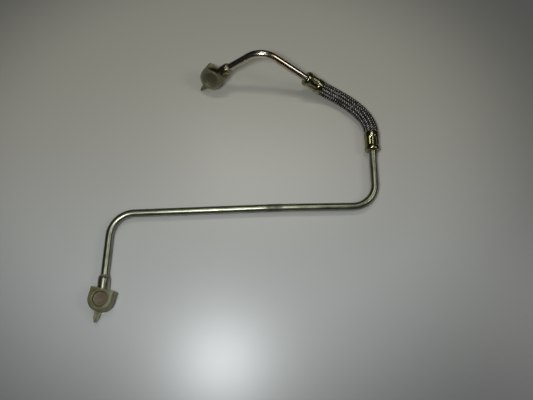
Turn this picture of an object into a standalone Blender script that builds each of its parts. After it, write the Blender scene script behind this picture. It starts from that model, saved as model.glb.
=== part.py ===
"""Fuel return pipe: two bent steel pipes joined by a crimped braided hose.

A banjo eye is brazed on each far end, and a soft protective cap is pushed over each eye.
The assembly lies on a table. Lengths are in metres, +Z is up and the long run lies along +X.
"""

import math

import bmesh
import bpy
from mathutils import Matrix, Vector

MM = 0.001

# Room between two pieces that meet
FIT_GAP = 0.3 * MM

# Steel pipe
PIPE_DIAMETER = 8.0 * MM
PIPE_WALL = 1.0 * MM
BEND_RADIUS = 25.0 * MM
BEAD_HEIGHT = 0.3 * MM
BEAD_LENGTH = 2.0 * MM
BEAD_TOP_LENGTH = 0.8 * MM
BEAD_SPACING = 5.0 * MM
TAIL_SHORTFALL = 3.0 * MM

# Long pipe, measured between the corners of its centreline
LOWER_LEG_LENGTH = 88.0 * MM
RUN_LEFT_LENGTH = 172.2 * MM
RUN_RIGHT_LENGTH = 103.9 * MM
RISER_LENGTH = 61.5 * MM
LOWER_LEG_HEADING = math.radians(88.1)
RUN_LEFT_HEADING = math.radians(2.3)
RUN_RIGHT_HEADING = math.radians(1.0)
RISER_HEADING = math.radians(90.4)

# Short pipe, from the upper ferrule over its bend and down to the upper eye
FERRULE_LEG_LENGTH = 58.3 * MM
UPPER_LEG_LENGTH = 67.2 * MM
FERRULE_LEG_HEADING = math.radians(160.7)
FERRULE_LEG_RISE = math.radians(30.4)
UPPER_LEG_HEADING = math.radians(-168.6)
UPPER_LEG_RISE = math.radians(-34.0)
UPPER_EYE_ROLL = math.radians(45.0)

# Braided hose
HOSE_DIAMETER = 15.2 * MM
HOSE_BORE = 7.8 * MM
BRAID_WALL = 0.7 * MM
BRAID_RIDGE = 0.4 * MM
BRAID_CARRIERS = 12
BRAID_SHARP_ANGLE = math.radians(60.0)
BRAID_PITCH_STEP = 2.1 * MM
LINER_CRIMPED_WALL = 1.0 * MM
BRAID_CRIMPED_WALL = 0.6 * MM
HOSE_SWELL_LENGTH = 3.0 * MM
HOSE_SPAN = Vector((-54.7, 52.6, 6.4)) * MM
HOSE_LOWER_HANDLE = 28.3 * MM
HOSE_UPPER_HANDLE = 17.4 * MM

# Crimped ferrule
FERRULE_LENGTH = 21.2 * MM
FERRULE_WALL = 0.9 * MM
FERRULE_COLLAR_STEP = 0.6 * MM
FERRULE_END_WALL = 2.4 * MM
FERRULE_SHOULDER = 2.2 * MM
FERRULE_MOUTH_FLARE = 0.6 * MM
FERRULE_MOUTH_LENGTH = 6.2 * MM
FERRULE_LIP_ROUNDING = 0.5 * MM
CRIMP_LENGTH = 9.6 * MM
CRIMP_DEPTH = 0.3 * MM
CRIMP_FLATS = 6
CRIMP_FLAT_WIDTH = 4.6 * MM
LOWER_CRIMP_TURN = math.radians(10.0)
UPPER_CRIMP_TURN = math.radians(35.0)

# Banjo eye
EYE_BORE = 16.4 * MM
EYE_DIAMETER = 22.4 * MM
EYE_FACE_DIAMETER = 20.0 * MM
EYE_THICKNESS = 13.5 * MM
EYE_BORE_CHAMFER = 0.6 * MM
NECK_DIAMETER = 12.0 * MM
NECK_REACH = 21.6 * MM
NECK_SHOULDER = 1.4 * MM
SOCKET_DEPTH = 7.0 * MM
PASSAGE_DIAMETER = 5.0 * MM

# Braze fillet between neck and pipe
BRAZE_FOOT = 1.4 * MM
BRAZE_LENGTH = 2.6 * MM
BRAZE_TIP = 0.25 * MM
BRAZE_HOLLOW_WIDTH = 0.55 * MM
BRAZE_HOLLOW_HEIGHT = 1.2 * MM

# Protective cap
CAP_WALL = 1.0 * MM
CAP_EDGE_ROUNDING = 2.6 * MM
CAP_MOUTH_REACH = 10.0 * MM
CAP_DIMPLE_DEPTH = 3.2 * MM
CAP_DIMPLE_WALL = 0.9 * MM
TAB_WIDTH = 6.4 * MM
TAB_TIP_WIDTH = 1.4 * MM
TAB_WAIST_WIDTH = 5.4 * MM
TAB_LENGTH = 10.6 * MM
TAB_THICKNESS = 2.4 * MM
TAB_POINT_LENGTH = 4.0 * MM
TAB_ROOT_OVERLAP = 1.0 * MM
LOWER_CAP_TURN = math.radians(-11.0)
UPPER_CAP_TURN = math.radians(17.0)
LOWER_MOUTH_SLANT = 0.0
UPPER_MOUTH_SLANT = math.radians(15.0)

# Fineness of round shapes
TURNED_STEPS = 36
PIPE_SIDE_RESOLUTION = 4
BEND_STEPS_PER_TURN = 40
ROUNDING_STEPS = 4
CROWN_STEPS = 8
CAP_EDGE_RESOLUTION = 2
CAP_END_STEPS = 16
PASSAGE_SIDES = 16
SHARP_ANGLE = math.radians(35.0)
HOSE_STEPS = 22
CUTTER_OVERSHOOT = 2.0 * MM

# Sizes that follow from the ones above
PIPE_RADIUS = PIPE_DIAMETER / 2
LINER_CRIMPED_BORE = PIPE_RADIUS + BEAD_HEIGHT + FIT_GAP
LINER_CRIMPED_RADIUS = LINER_CRIMPED_BORE + LINER_CRIMPED_WALL
BRAID_CRIMPED_BORE = LINER_CRIMPED_RADIUS + FIT_GAP
BRAID_CRIMPED_RADIUS = BRAID_CRIMPED_BORE + BRAID_CRIMPED_WALL
FERRULE_BORE = BRAID_CRIMPED_RADIUS + FIT_GAP
FERRULE_RADIUS = FERRULE_BORE + FERRULE_WALL
FERRULE_COLLAR_RADIUS = FERRULE_RADIUS + FERRULE_COLLAR_STEP
BRAID_RADIUS = HOSE_DIAMETER / 2 - BRAID_RIDGE
BRAID_BORE = BRAID_RADIUS - BRAID_WALL
HOSE_END_DEPTH = FERRULE_LENGTH - FERRULE_END_WALL - FIT_GAP
SOCKET_START = NECK_REACH - SOCKET_DEPTH
CAP_POCKET_RADIUS = EYE_DIAMETER / 2 + FIT_GAP
CAP_RADIUS = CAP_POCKET_RADIUS + CAP_WALL
CAP_POCKET_HALF = EYE_THICKNESS / 2 + FIT_GAP
CAP_HALF = CAP_POCKET_HALF + CAP_WALL
CAP_DIMPLE_RADIUS = EYE_BORE / 2 - FIT_GAP
RUN_HEIGHT = max(CAP_HALF, FERRULE_COLLAR_RADIUS, HOSE_DIAMETER / 2)


def clear_scene():
    """Remove every object, so that the model starts from nothing."""
    for obj in list(bpy.data.objects):
        bpy.data.objects.remove(obj, do_unlink=True)


def new_collection(name):
    """Make a collection in the scene."""
    collection = bpy.data.collections.new(name)
    bpy.context.scene.collection.children.link(collection)
    return collection


def new_material(name, colour, roughness, metallic):
    """Make a Principled material."""
    material = bpy.data.materials.new(name)
    material.use_nodes = True
    shader = material.node_tree.nodes["Principled BSDF"]
    shader.inputs["Base Color"].default_value = (*colour, 1.0)
    shader.inputs["Roughness"].default_value = roughness
    shader.inputs["Metallic"].default_value = metallic
    return material


def direction(heading, rise=0.0):
    """Unit vector with a heading in plan, from +X, and a rise above the table."""
    level = math.cos(rise)
    return Vector((level * math.cos(heading), level * math.sin(heading), math.sin(rise)))


def rounded_path(corners, radius):
    """Points along straight legs joined by arcs of one radius."""
    points = [corners[0].copy()]
    for before, corner, after in zip(corners, corners[1:], corners[2:]):
        inward = (corner - before).normalized()
        outward = (after - corner).normalized()
        turn = inward.angle(outward)
        setback = radius * math.tan(turn / 2)
        axis = inward.cross(outward).normalized()
        centre = corner - inward * setback + axis.cross(inward) * radius
        spoke = corner - inward * setback - centre
        steps = max(1, round(BEND_STEPS_PER_TURN * turn / math.tau))
        for step in range(steps + 1):
            points.append(centre + Matrix.Rotation(turn * step / steps, 3, axis) @ spoke)
    points.append(corners[-1].copy())
    return points


def bezier_points(start, start_handle, end_handle, end, steps):
    """Points along one cubic curve."""
    points = []
    for step in range(steps + 1):
        t = step / steps
        s = 1 - t
        points.append(start * s ** 3 + start_handle * 3 * s * s * t
                      + end_handle * 3 * s * t * t + end * t ** 3)
    return points


def distances_along(points):
    """Length from the first point to each point of a path."""
    distances = [0.0]
    for before, after in zip(points, points[1:]):
        distances.append(distances[-1] + (after - before).length)
    return distances


def tube_curve(name, points, radii, side_resolution, capped):
    """A round tube along a poly line, with its own radius at each point."""
    curve = bpy.data.curves.new(name, "CURVE")
    curve.dimensions = "3D"
    curve.bevel_depth = max(radii)
    curve.bevel_resolution = side_resolution
    curve.use_fill_caps = capped
    spline = curve.splines.new("POLY")
    spline.points.add(len(points) - 1)
    for spline_point, point, radius in zip(spline.points, points, radii):
        spline_point.co = (*point, 1.0)
        spline_point.radius = radius / curve.bevel_depth
    return bpy.data.objects.new(name, curve)


def mesh_from_curve(curve_object, collection):
    """Turn a curve object into a mesh object with its caps welded on."""
    scene_collection = bpy.context.scene.collection
    scene_collection.objects.link(curve_object)
    evaluated = curve_object.evaluated_get(bpy.context.evaluated_depsgraph_get())
    mesh = bpy.data.meshes.new_from_object(evaluated)
    name = curve_object.name
    matrix = curve_object.matrix_world.copy()
    bpy.data.objects.remove(curve_object, do_unlink=True)
    solid = bmesh.new()
    solid.from_mesh(mesh)
    bmesh.ops.remove_doubles(solid, verts=solid.verts, dist=0.001 * MM)
    bmesh.ops.recalc_face_normals(solid, faces=solid.faces)
    solid.to_mesh(mesh)
    solid.free()
    mesh.name = name
    mesh_object = bpy.data.objects.new(name, mesh)
    mesh_object.matrix_world = matrix
    collection.objects.link(mesh_object)
    return mesh_object


def profile_object(name, profile, collection):
    """A closed profile in the XZ plane, turned about Z by a Screw modifier."""
    mesh = bpy.data.meshes.new(name)
    edges = [(index, (index + 1) % len(profile)) for index in range(len(profile))]
    mesh.from_pydata([(radius, 0.0, height) for radius, height in profile], edges, [])
    turned = bpy.data.objects.new(name, mesh)
    collection.objects.link(turned)
    screw = turned.modifiers.new("turned", "SCREW")
    screw.steps = TURNED_STEPS
    screw.render_steps = TURNED_STEPS
    screw.use_merge_vertices = True
    screw.merge_threshold = 0.01 * MM
    screw.use_normal_calculate = False
    return turned


def solid_cylinder(name, radius, bottom, top, collection, sides=TURNED_STEPS):
    """A closed cylinder about Z."""
    mesh = bpy.data.meshes.new(name)
    solid = bmesh.new()
    middle = Matrix.Translation((0, 0, (bottom + top) / 2))
    bmesh.ops.create_cone(solid, cap_ends=True, segments=sides, radius1=radius, radius2=radius,
                          depth=top - bottom, matrix=middle)
    solid.to_mesh(mesh)
    solid.free()
    cylinder = bpy.data.objects.new(name, mesh)
    collection.objects.link(cylinder)
    return cylinder


def solid_box(name, low, high, collection):
    """A closed box between two corners."""
    mesh = bpy.data.meshes.new(name)
    solid = bmesh.new()
    size = Vector(high) - Vector(low)
    place = Matrix.Translation((Vector(low) + Vector(high)) / 2) @ Matrix.Diagonal((*size, 1))
    bmesh.ops.create_cube(solid, size=1, matrix=place)
    solid.to_mesh(mesh)
    solid.free()
    box = bpy.data.objects.new(name, mesh)
    collection.objects.link(box)
    return box


def outline_solid(name, outline, half_thickness, rounding, collection):
    """A flat outline made solid, with round edges that stay inside the outline."""
    curve = bpy.data.curves.new(name, "CURVE")
    curve.dimensions = "2D"
    curve.fill_mode = "BOTH"
    curve.extrude = half_thickness - rounding
    curve.bevel_depth = rounding
    curve.bevel_resolution = CAP_EDGE_RESOLUTION
    curve.offset = -rounding
    spline = curve.splines.new("POLY")
    spline.points.add(len(outline) - 1)
    for spline_point, (x, y) in zip(spline.points, outline):
        spline_point.co = (x, y, 0.0, 1.0)
    spline.use_cyclic_u = True
    return mesh_from_curve(bpy.data.objects.new(name, curve), collection)


def use_tool(target, tool, operation, cutters):
    """Cut or join one mesh with another, which stays in the collection of cutters."""
    for collection in list(tool.users_collection):
        collection.objects.unlink(tool)
    cutters.objects.link(tool)
    tool.hide_render = True
    tool.display_type = "WIRE"
    tool.parent = target
    boolean = target.modifiers.new(tool.name, "BOOLEAN")
    boolean.object = tool
    boolean.operation = operation
    boolean.solver = "EXACT"


def shade(solid, angle=SHARP_ANGLE):
    """Smooth shading that keeps the sharp edges."""
    solid.data.shade_smooth()
    solid.data.set_sharp_from_angle(angle=angle)


def axes_matrix(origin, along_x, along_z):
    """A placement whose X and Z axes are given."""
    x_axis = along_x.normalized()
    z_axis = (along_z - x_axis * along_z.dot(x_axis)).normalized()
    y_axis = z_axis.cross(x_axis)
    rotation = Matrix((x_axis, y_axis, z_axis)).transposed().to_4x4()
    return Matrix.Translation(origin) @ rotation


def turned_matrix(origin, axis):
    """A placement whose Z axis is given, for a turned piece."""
    return Matrix.Translation(origin) @ axis.to_track_quat("Z", "Y").to_matrix().to_4x4()


def arc(centre, radius, start, end, steps):
    """Points of a flat arc between two angles."""
    points = []
    for step in range(steps + 1):
        angle = start + (end - start) * step / steps
        points.append((centre[0] + radius * math.cos(angle), centre[1] + radius * math.sin(angle)))
    return points


class Route:
    """Centrelines of the whole assembly."""

    def __init__(self):
        leg = direction(LOWER_LEG_HEADING)
        self.lower_eye = Vector((0, 0, RUN_HEIGHT))
        first_bend = self.lower_eye + leg * LOWER_LEG_LENGTH
        kink = first_bend + direction(RUN_LEFT_HEADING) * RUN_LEFT_LENGTH
        second_bend = kink + direction(RUN_RIGHT_HEADING) * RUN_RIGHT_LENGTH
        self.lower_axis = direction(RISER_HEADING)
        self.lower_ferrule = second_bend + self.lower_axis * RISER_LENGTH
        self.lower_mouth = self.lower_ferrule + self.lower_axis * FERRULE_LENGTH
        self.upper_mouth = self.lower_mouth + HOSE_SPAN
        self.ferrule_leg = direction(FERRULE_LEG_HEADING, FERRULE_LEG_RISE)
        self.upper_ferrule = self.upper_mouth + self.ferrule_leg * FERRULE_LENGTH
        apex = self.upper_ferrule + self.ferrule_leg * FERRULE_LEG_LENGTH
        upper_leg = direction(UPPER_LEG_HEADING, UPPER_LEG_RISE)
        self.upper_eye = apex + upper_leg * UPPER_LEG_LENGTH
        self.lower_neck = leg
        self.upper_neck = -upper_leg
        self.lower_bore = Vector((0, 0, 1))
        level = (Vector((0, 0, 1)) - self.upper_neck * self.upper_neck.z).normalized()
        self.upper_bore = Matrix.Rotation(UPPER_EYE_ROLL, 3, self.upper_neck) @ level
        socket = SOCKET_START + FIT_GAP
        tail = FERRULE_LENGTH - TAIL_SHORTFALL
        self.long_corners = [self.lower_eye + leg * socket, first_bend, kink, second_bend,
                             self.lower_ferrule + self.lower_axis * tail]
        self.short_corners = [self.upper_eye + self.upper_neck * socket, apex,
                              self.upper_ferrule - self.ferrule_leg * tail]

    def hose(self, steps):
        """Centreline of the hose, straight in both ferrules and one curve between them."""
        start = self.lower_mouth
        end = self.upper_mouth
        free = bezier_points(start, start + self.lower_axis * HOSE_LOWER_HANDLE,
                             end - self.ferrule_leg * HOSE_UPPER_HANDLE, end, steps)
        first = start - self.lower_axis * HOSE_END_DEPTH
        last = end + self.ferrule_leg * HOSE_END_DEPTH
        return first, free, last


def pipe_with_tail(name, corners, collection):
    """A bent pipe, open at both ends, with two rolled beads near its last point."""
    points = rounded_path(corners, BEND_RADIUS)
    radii = [PIPE_RADIUS] * (len(points) - 1)
    end = points.pop()
    back = (points[-1] - end).normalized()
    foot, top = BEAD_LENGTH / 2, BEAD_TOP_LENGTH / 2
    raised = PIPE_RADIUS + BEAD_HEIGHT
    for bead in (2, 1):
        middle = BEAD_SPACING * bead - BEAD_SPACING / 2
        for offset, radius in ((foot, PIPE_RADIUS), (top, raised), (-top, raised), (-foot, PIPE_RADIUS)):
            points.append(end + back * (middle + offset))
            radii.append(radius)
    points.append(end)
    radii.append(PIPE_RADIUS)
    tube = tube_curve(name, points, radii, PIPE_SIDE_RESOLUTION, capped=False)
    pipe = mesh_from_curve(tube, collection)
    wall = pipe.modifiers.new("wall", "SOLIDIFY")
    wall.thickness = PIPE_WALL
    wall.offset = -1
    shade(pipe)
    return pipe


def banjo_eye(name, matrix, collection, cutters):
    """A crowned ring with its bore along Z and a drilled neck along X."""
    half = EYE_THICKNESS / 2
    rise = (EYE_DIAMETER - EYE_FACE_DIAMETER) / 2
    crown = (half ** 2 + rise ** 2) / (2 * rise)
    spread = math.asin(half / crown)
    centre = (EYE_DIAMETER / 2 - crown, 0.0)
    bore = EYE_BORE / 2
    profile = arc(centre, crown, spread, -spread, CROWN_STEPS)
    profile += [(bore + EYE_BORE_CHAMFER, -half), (bore, EYE_BORE_CHAMFER - half),
                (bore, half - EYE_BORE_CHAMFER), (bore + EYE_BORE_CHAMFER, half)]
    eye = profile_object(name, profile, collection)
    radius = NECK_DIAMETER / 2
    root = (bore + EYE_DIAMETER / 2) / 2
    shoulder = arc((radius - NECK_SHOULDER, NECK_REACH - NECK_SHOULDER), NECK_SHOULDER,
                   math.pi / 2, 0.0, ROUNDING_STEPS)
    stem = [(0.0, NECK_REACH), *shoulder, (radius, root), (0.0, root)]
    neck = profile_object(name + "_neck", stem, cutters)
    socket = solid_cylinder(name + "_socket", PIPE_RADIUS + FIT_GAP, SOCKET_START,
                            NECK_REACH + CUTTER_OVERSHOOT, cutters)
    passage = solid_cylinder(name + "_passage", PASSAGE_DIAMETER / 2, bore / 2,
                             SOCKET_START + CUTTER_OVERSHOOT, cutters, PASSAGE_SIDES)
    for tool, operation in ((neck, "UNION"), (socket, "DIFFERENCE"), (passage, "DIFFERENCE")):
        tool.rotation_euler = (0, math.pi / 2, 0)
        use_tool(eye, tool, operation, cutters)
    eye.matrix_world = matrix
    shade(eye)
    return eye


def braze_ring(name, origin, axis, collection):
    """A concave fillet of braze between the neck's end and the pipe."""
    inner = PIPE_RADIUS + FIT_GAP
    foot = FIT_GAP
    tip = foot + BRAZE_LENGTH
    hollow = (inner + BRAZE_HOLLOW_WIDTH, foot + BRAZE_HOLLOW_HEIGHT)
    profile = [(inner, tip), (inner + BRAZE_TIP, tip), hollow, (inner + BRAZE_FOOT, foot + BRAZE_TIP),
               (inner + BRAZE_FOOT, foot), (inner, foot)]
    ring = profile_object(name, profile, collection)
    ring.matrix_world = turned_matrix(origin + axis * NECK_REACH, axis)
    shade(ring)
    return ring


def ferrule(name, origin, axis, turn, collection, cutters):
    """A crimped cup with its end wall at the origin, its mouth along Z and its flats turned."""
    collar = FERRULE_COLLAR_RADIUS
    mouth = FERRULE_BORE + FERRULE_MOUTH_FLARE
    crimp_top = FERRULE_LENGTH - FERRULE_MOUTH_LENGTH
    crimp_bottom = crimp_top - CRIMP_LENGTH
    lip = FERRULE_LIP_ROUNDING
    shoulder = arc((collar - FERRULE_SHOULDER, FERRULE_SHOULDER), FERRULE_SHOULDER,
                   0.0, -math.pi / 2, ROUNDING_STEPS)
    profile = [
        (mouth, FERRULE_LENGTH - lip), (mouth + lip, FERRULE_LENGTH), (collar - lip, FERRULE_LENGTH),
        (collar, FERRULE_LENGTH - lip), (collar, crimp_top + FERRULE_COLLAR_STEP),
        (FERRULE_RADIUS, crimp_top), (FERRULE_RADIUS, crimp_bottom),
        (collar, crimp_bottom - FERRULE_COLLAR_STEP), *shoulder,
        (PIPE_RADIUS + FIT_GAP, 0.0), (PIPE_RADIUS + FIT_GAP, FERRULE_END_WALL),
        (FERRULE_BORE, FERRULE_END_WALL), (FERRULE_BORE, crimp_top),
    ]
    cup = profile_object(name, profile, collection)
    flat = FERRULE_RADIUS - CRIMP_DEPTH
    margin = FERRULE_COLLAR_STEP
    for index in range(CRIMP_FLATS):
        low = (flat, -CRIMP_FLAT_WIDTH / 2, crimp_bottom + margin)
        high = (collar + CUTTER_OVERSHOOT, CRIMP_FLAT_WIDTH / 2, crimp_top - margin)
        tool = solid_box(f"{name}_crimp_{index + 1}", low, high, cutters)
        tool.rotation_euler = (0, 0, turn + math.tau * index / CRIMP_FLATS)
        use_tool(cup, tool, "DIFFERENCE", cutters)
    cup.matrix_world = turned_matrix(origin, axis)
    shade(cup)
    return cup


def hose_profile(route, depths, radius_at, steps):
    """Points of the hose's centreline, with a radius and the depth inside a ferrule at each."""
    first, free, last = route.hose(steps)
    lower = [free[0].lerp(first, depth / HOSE_END_DEPTH) for depth in reversed(depths)]
    upper = [free[-1].lerp(last, depth / HOSE_END_DEPTH) for depth in depths]
    points = lower + free + upper
    along = distances_along(points)
    start = along[len(lower)]
    end = along[len(lower) + len(free) - 1]
    depth_at = [max(start - here, here - end) for here in along]
    return points, [radius_at(depth) for depth in depth_at], depth_at


def blend(here, start, end, first, last):
    """A value that runs evenly from first to last between two places."""
    share = min(1.0, max(0.0, (here - start) / (end - start)))
    return first + (last - first) * share


def braid_radius(depth):
    """Outer radius of the braid at a depth inside a ferrule, or outside it where that is negative."""
    if depth > 0:
        return blend(depth, 0, FERRULE_MOUTH_LENGTH, BRAID_CRIMPED_RADIUS + FERRULE_MOUTH_FLARE,
                     BRAID_CRIMPED_RADIUS)
    return blend(-depth, 0, HOSE_SWELL_LENGTH, BRAID_CRIMPED_RADIUS + FERRULE_MOUTH_FLARE, BRAID_RADIUS)


def braid_bore(depth):
    """Inner radius of the braid."""
    if depth > 0:
        return braid_radius(depth) - BRAID_CRIMPED_WALL
    return blend(-depth, 0, HOSE_SWELL_LENGTH, braid_radius(0) - BRAID_CRIMPED_WALL, BRAID_BORE)


def liner_radius(depth):
    """Outer radius of the rubber tube."""
    return braid_bore(depth) - FIT_GAP


def liner_bore(depth):
    """Inner radius of the rubber tube, which opens out over the pipe's tail."""
    tail_end = TAIL_SHORTFALL - FIT_GAP
    return blend(depth, 0, tail_end, HOSE_BORE / 2, LINER_CRIMPED_BORE)


def cut_bore(tube, route, depths, inner_radius, cutters):
    """Open a tube along the hose from end to end."""
    points, radii, depth_at = hose_profile(route, depths, inner_radius, HOSE_STEPS)
    points[0] += (points[0] - points[1]).normalized() * CUTTER_OVERSHOOT
    points[-1] += (points[-1] - points[-2]).normalized() * CUTTER_OVERSHOOT
    bore = tube_curve(tube.name + "_bore", points, radii, PIPE_SIDE_RESOLUTION, capped=True)
    use_tool(tube, mesh_from_curve(bore, cutters), "DIFFERENCE", cutters)


def hose_liner(route, collection, cutters):
    """The rubber tube, pushed over both pipe tails."""
    depths = [TAIL_SHORTFALL, FERRULE_MOUTH_LENGTH, HOSE_END_DEPTH]
    points, radii, depth_at = hose_profile(route, depths, liner_radius, HOSE_STEPS)
    curve = tube_curve("hose_liner", points, radii, PIPE_SIDE_RESOLUTION, capped=True)
    liner = mesh_from_curve(curve, collection)
    cut_bore(liner, route, depths, liner_bore, cutters)
    shade(liner)
    return liner


def hose_braid(route, collection, cutters):
    """The woven cover: helical ridges that cross at every other point of a fine tube."""
    free = route.hose(HOSE_STEPS)[1]
    rings = round(distances_along(free)[-1] / BRAID_PITCH_STEP)
    depths = [FERRULE_MOUTH_LENGTH, HOSE_END_DEPTH]
    points, radii, depth_at = hose_profile(route, depths, braid_radius, rings)
    curve = tube_curve("hose_braid", points, radii, BRAID_CARRIERS - 2, capped=True)
    cover = mesh_from_curve(curve, collection)
    raise_ridges(cover.data, points, depth_at)
    cut_bore(cover, route, depths, braid_bore, cutters)
    shade(cover, BRAID_SHARP_ANGLE)
    return cover


def raise_ridges(mesh, points, depth_at):
    """Lift every other corner of a tube's squares and fold each square along its raised corners."""
    solid = bmesh.new()
    solid.from_mesh(mesh)
    solid.verts.ensure_lookup_table()
    lifted = {solid.verts[0]: True}
    waiting = [solid.verts[0]]
    while waiting:
        vertex = waiting.pop()
        for edge in vertex.link_edges:
            neighbour = edge.other_vert(vertex)
            on_side = any(len(face.verts) == 4 for face in edge.link_faces)
            if on_side and neighbour not in lifted:
                lifted[neighbour] = not lifted[vertex]
                waiting.append(neighbour)
    raised = set()
    for vertex in solid.verts:
        ring = min(range(len(points)), key=lambda index: (vertex.co - points[index]).length)
        if lifted[vertex] and depth_at[ring] < -HOSE_SWELL_LENGTH / 2:
            vertex.co += (vertex.co - points[ring]).normalized() * BRAID_RIDGE
            raised.add(vertex)
    for face in list(solid.faces):
        corners = [vertex for vertex in face.verts if vertex in raised]
        if len(face.verts) == 4 and len(corners) == 2:
            bmesh.utils.face_split(face, corners[0], corners[1])
    solid.to_mesh(mesh)
    solid.free()


def cap_outline(radius, mouth_reach):
    """A round closed end of one radius with straight sides to the mouth on +X."""
    outline = arc((0.0, 0.0), radius, math.pi / 2, 3 * math.pi / 2, CAP_END_STEPS)
    return outline + [(mouth_reach, -radius), (mouth_reach, radius)]


def protective_cap(name, matrix, turn, mouth_slant, collection, cutters):
    """A soft pouch over an eye, with a dimple into each end of the bore and a pull tab."""
    reach = CAP_MOUTH_REACH
    over = CAP_EDGE_ROUNDING + CUTTER_OVERSHOOT + CAP_RADIUS * math.tan(mouth_slant)
    outside = cap_outline(CAP_RADIUS, reach + over)
    inside = cap_outline(CAP_POCKET_RADIUS, reach + 2 * over)
    inner_rounding = CAP_EDGE_ROUNDING - CAP_WALL
    cap = outline_solid(name, outside, CAP_HALF, CAP_EDGE_ROUNDING, collection)
    pocket = outline_solid(name + "_pocket", inside, CAP_POCKET_HALF, inner_rounding, cutters)
    mouth = solid_box(name + "_mouth", (reach, -2 * CAP_RADIUS, -2 * CAP_HALF),
                      (reach + 3 * over, 2 * CAP_RADIUS, 2 * CAP_HALF), cutters)
    lips = Matrix.Translation((reach, 0, 0))
    mouth.matrix_world = lips @ Matrix.Rotation(mouth_slant, 4, "Z") @ lips.inverted()
    use_tool(cap, pocket, "DIFFERENCE", cutters)
    use_tool(cap, mouth, "DIFFERENCE", cutters)
    floor = CAP_HALF - CAP_DIMPLE_DEPTH
    recess = CAP_DIMPLE_RADIUS - CAP_DIMPLE_WALL
    for side, flip in (("top", 0.0), ("bottom", math.pi)):
        plug = solid_cylinder(f"{name}_{side}_plug", CAP_DIMPLE_RADIUS, floor - CAP_WALL,
                              CAP_HALF - CAP_WALL / 2, cutters)
        hollow = solid_cylinder(f"{name}_{side}_recess", recess, floor,
                                CAP_HALF + CUTTER_OVERSHOOT, cutters)
        for tool, operation in ((plug, "UNION"), (hollow, "DIFFERENCE")):
            tool.rotation_euler = (flip, 0, 0)
            use_tool(cap, tool, operation, cutters)
    use_tool(cap, pull_tab(name + "_tab", cutters), "UNION", cutters)
    cap.matrix_world = matrix @ Matrix.Rotation(turn, 4, "Z")
    shade(cap)
    return cap


def pull_tab(name, cutters):
    """A pointed tongue that leaves the cap's closed end."""
    root = CAP_RADIUS - TAB_ROOT_OVERLAP
    tip = CAP_RADIUS + TAB_LENGTH
    neck = tip - TAB_POINT_LENGTH
    half = TAB_WIDTH / 2
    waist = TAB_WAIST_WIDTH / 2
    end = TAB_TIP_WIDTH / 2
    outline = [(-root, half), (-neck, waist), (-tip, end), (-tip, -end), (-neck, -waist), (-root, -half)]
    return outline_solid(name, outline, TAB_THICKNESS / 2, 0.0, cutters)


def centre_on_table(assembly, pieces):
    """Move the whole assembly so that its box stands on the table around the origin."""
    bpy.context.view_layer.update()
    graph = bpy.context.evaluated_depsgraph_get()
    corners = []
    for piece in pieces:
        evaluated = piece.evaluated_get(graph)
        matrix = evaluated.matrix_world
        corners += [matrix @ vertex.co for vertex in evaluated.data.vertices]
    low = Vector([min(corner[axis] for corner in corners) for axis in range(3)])
    high = Vector([max(corner[axis] for corner in corners) for axis in range(3)])
    assembly.location = (-(low.x + high.x) / 2, -(low.y + high.y) / 2, -low.z)


def build():
    """Make every piece and set the assembly on the table."""
    clear_scene()
    parts = new_collection("fuel_return_pipe")
    cutters = new_collection("cutters")
    route = Route()
    zinc = new_material("zinc_plated_steel", (0.52, 0.52, 0.42), 0.32, 1.0)
    bright = new_material("bright_plated_steel", (0.62, 0.57, 0.46), 0.22, 1.0)
    passivated = new_material("yellow_passivated_steel", (0.55, 0.50, 0.24), 0.28, 1.0)
    braze = new_material("braze", (0.60, 0.50, 0.36), 0.45, 1.0)
    rubber = new_material("black_rubber", (0.02, 0.02, 0.02), 0.8, 0.0)
    braid = new_material("dark_braid", (0.08, 0.08, 0.09), 0.6, 0.2)
    plastic = new_material("smoky_plastic", (0.26, 0.25, 0.15), 0.4, 0.0)
    lower_eye_place = axes_matrix(route.lower_eye, route.lower_neck, route.lower_bore)
    upper_eye_place = axes_matrix(route.upper_eye, route.upper_neck, route.upper_bore)
    lower_cap = protective_cap("lower_cap", lower_eye_place, LOWER_CAP_TURN, LOWER_MOUTH_SLANT, parts, cutters)
    upper_cap = protective_cap("upper_cap", upper_eye_place, UPPER_CAP_TURN, UPPER_MOUTH_SLANT, parts, cutters)
    pieces = [
        (pipe_with_tail("long_pipe", route.long_corners, parts), zinc),
        (pipe_with_tail("short_pipe", route.short_corners, parts), bright),
        (banjo_eye("lower_banjo_eye", lower_eye_place, parts, cutters), zinc),
        (banjo_eye("upper_banjo_eye", upper_eye_place, parts, cutters), passivated),
        (braze_ring("lower_braze_ring", route.lower_eye, route.lower_neck, parts), braze),
        (braze_ring("upper_braze_ring", route.upper_eye, route.upper_neck, parts), braze),
        (ferrule("lower_ferrule", route.lower_ferrule, route.lower_axis, LOWER_CRIMP_TURN,
                 parts, cutters), passivated),
        (ferrule("upper_ferrule", route.upper_ferrule, -route.ferrule_leg, UPPER_CRIMP_TURN,
                 parts, cutters), passivated),
        (hose_liner(route, parts, cutters), rubber),
        (hose_braid(route, parts, cutters), braid),
        (lower_cap, plastic),
        (upper_cap, plastic),
    ]
    assembly = bpy.data.objects.new("assembly", None)
    parts.objects.link(assembly)
    for piece, material in pieces:
        piece.data.materials.append(material)
        piece.parent = assembly
    centre_on_table(assembly, [piece for piece, material in pieces])


build()
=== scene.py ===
"""Looks of a fuel return pipe: two bent steel pipes joined by a crimped, braided hose.

A banjo eye is brazed on each far end and a soft, smoky protective cap is pushed over each eye.
Lengths are in metres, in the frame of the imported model: +Z is up and the table is at zero.
"""
import sys

import logging
import math
from dataclasses import dataclass, field, fields
from enum import Enum
from typing import Callable, Iterable, Sequence, Union

import bmesh
import bpy
import numpy as np
from mathutils import Matrix, Vector


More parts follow.
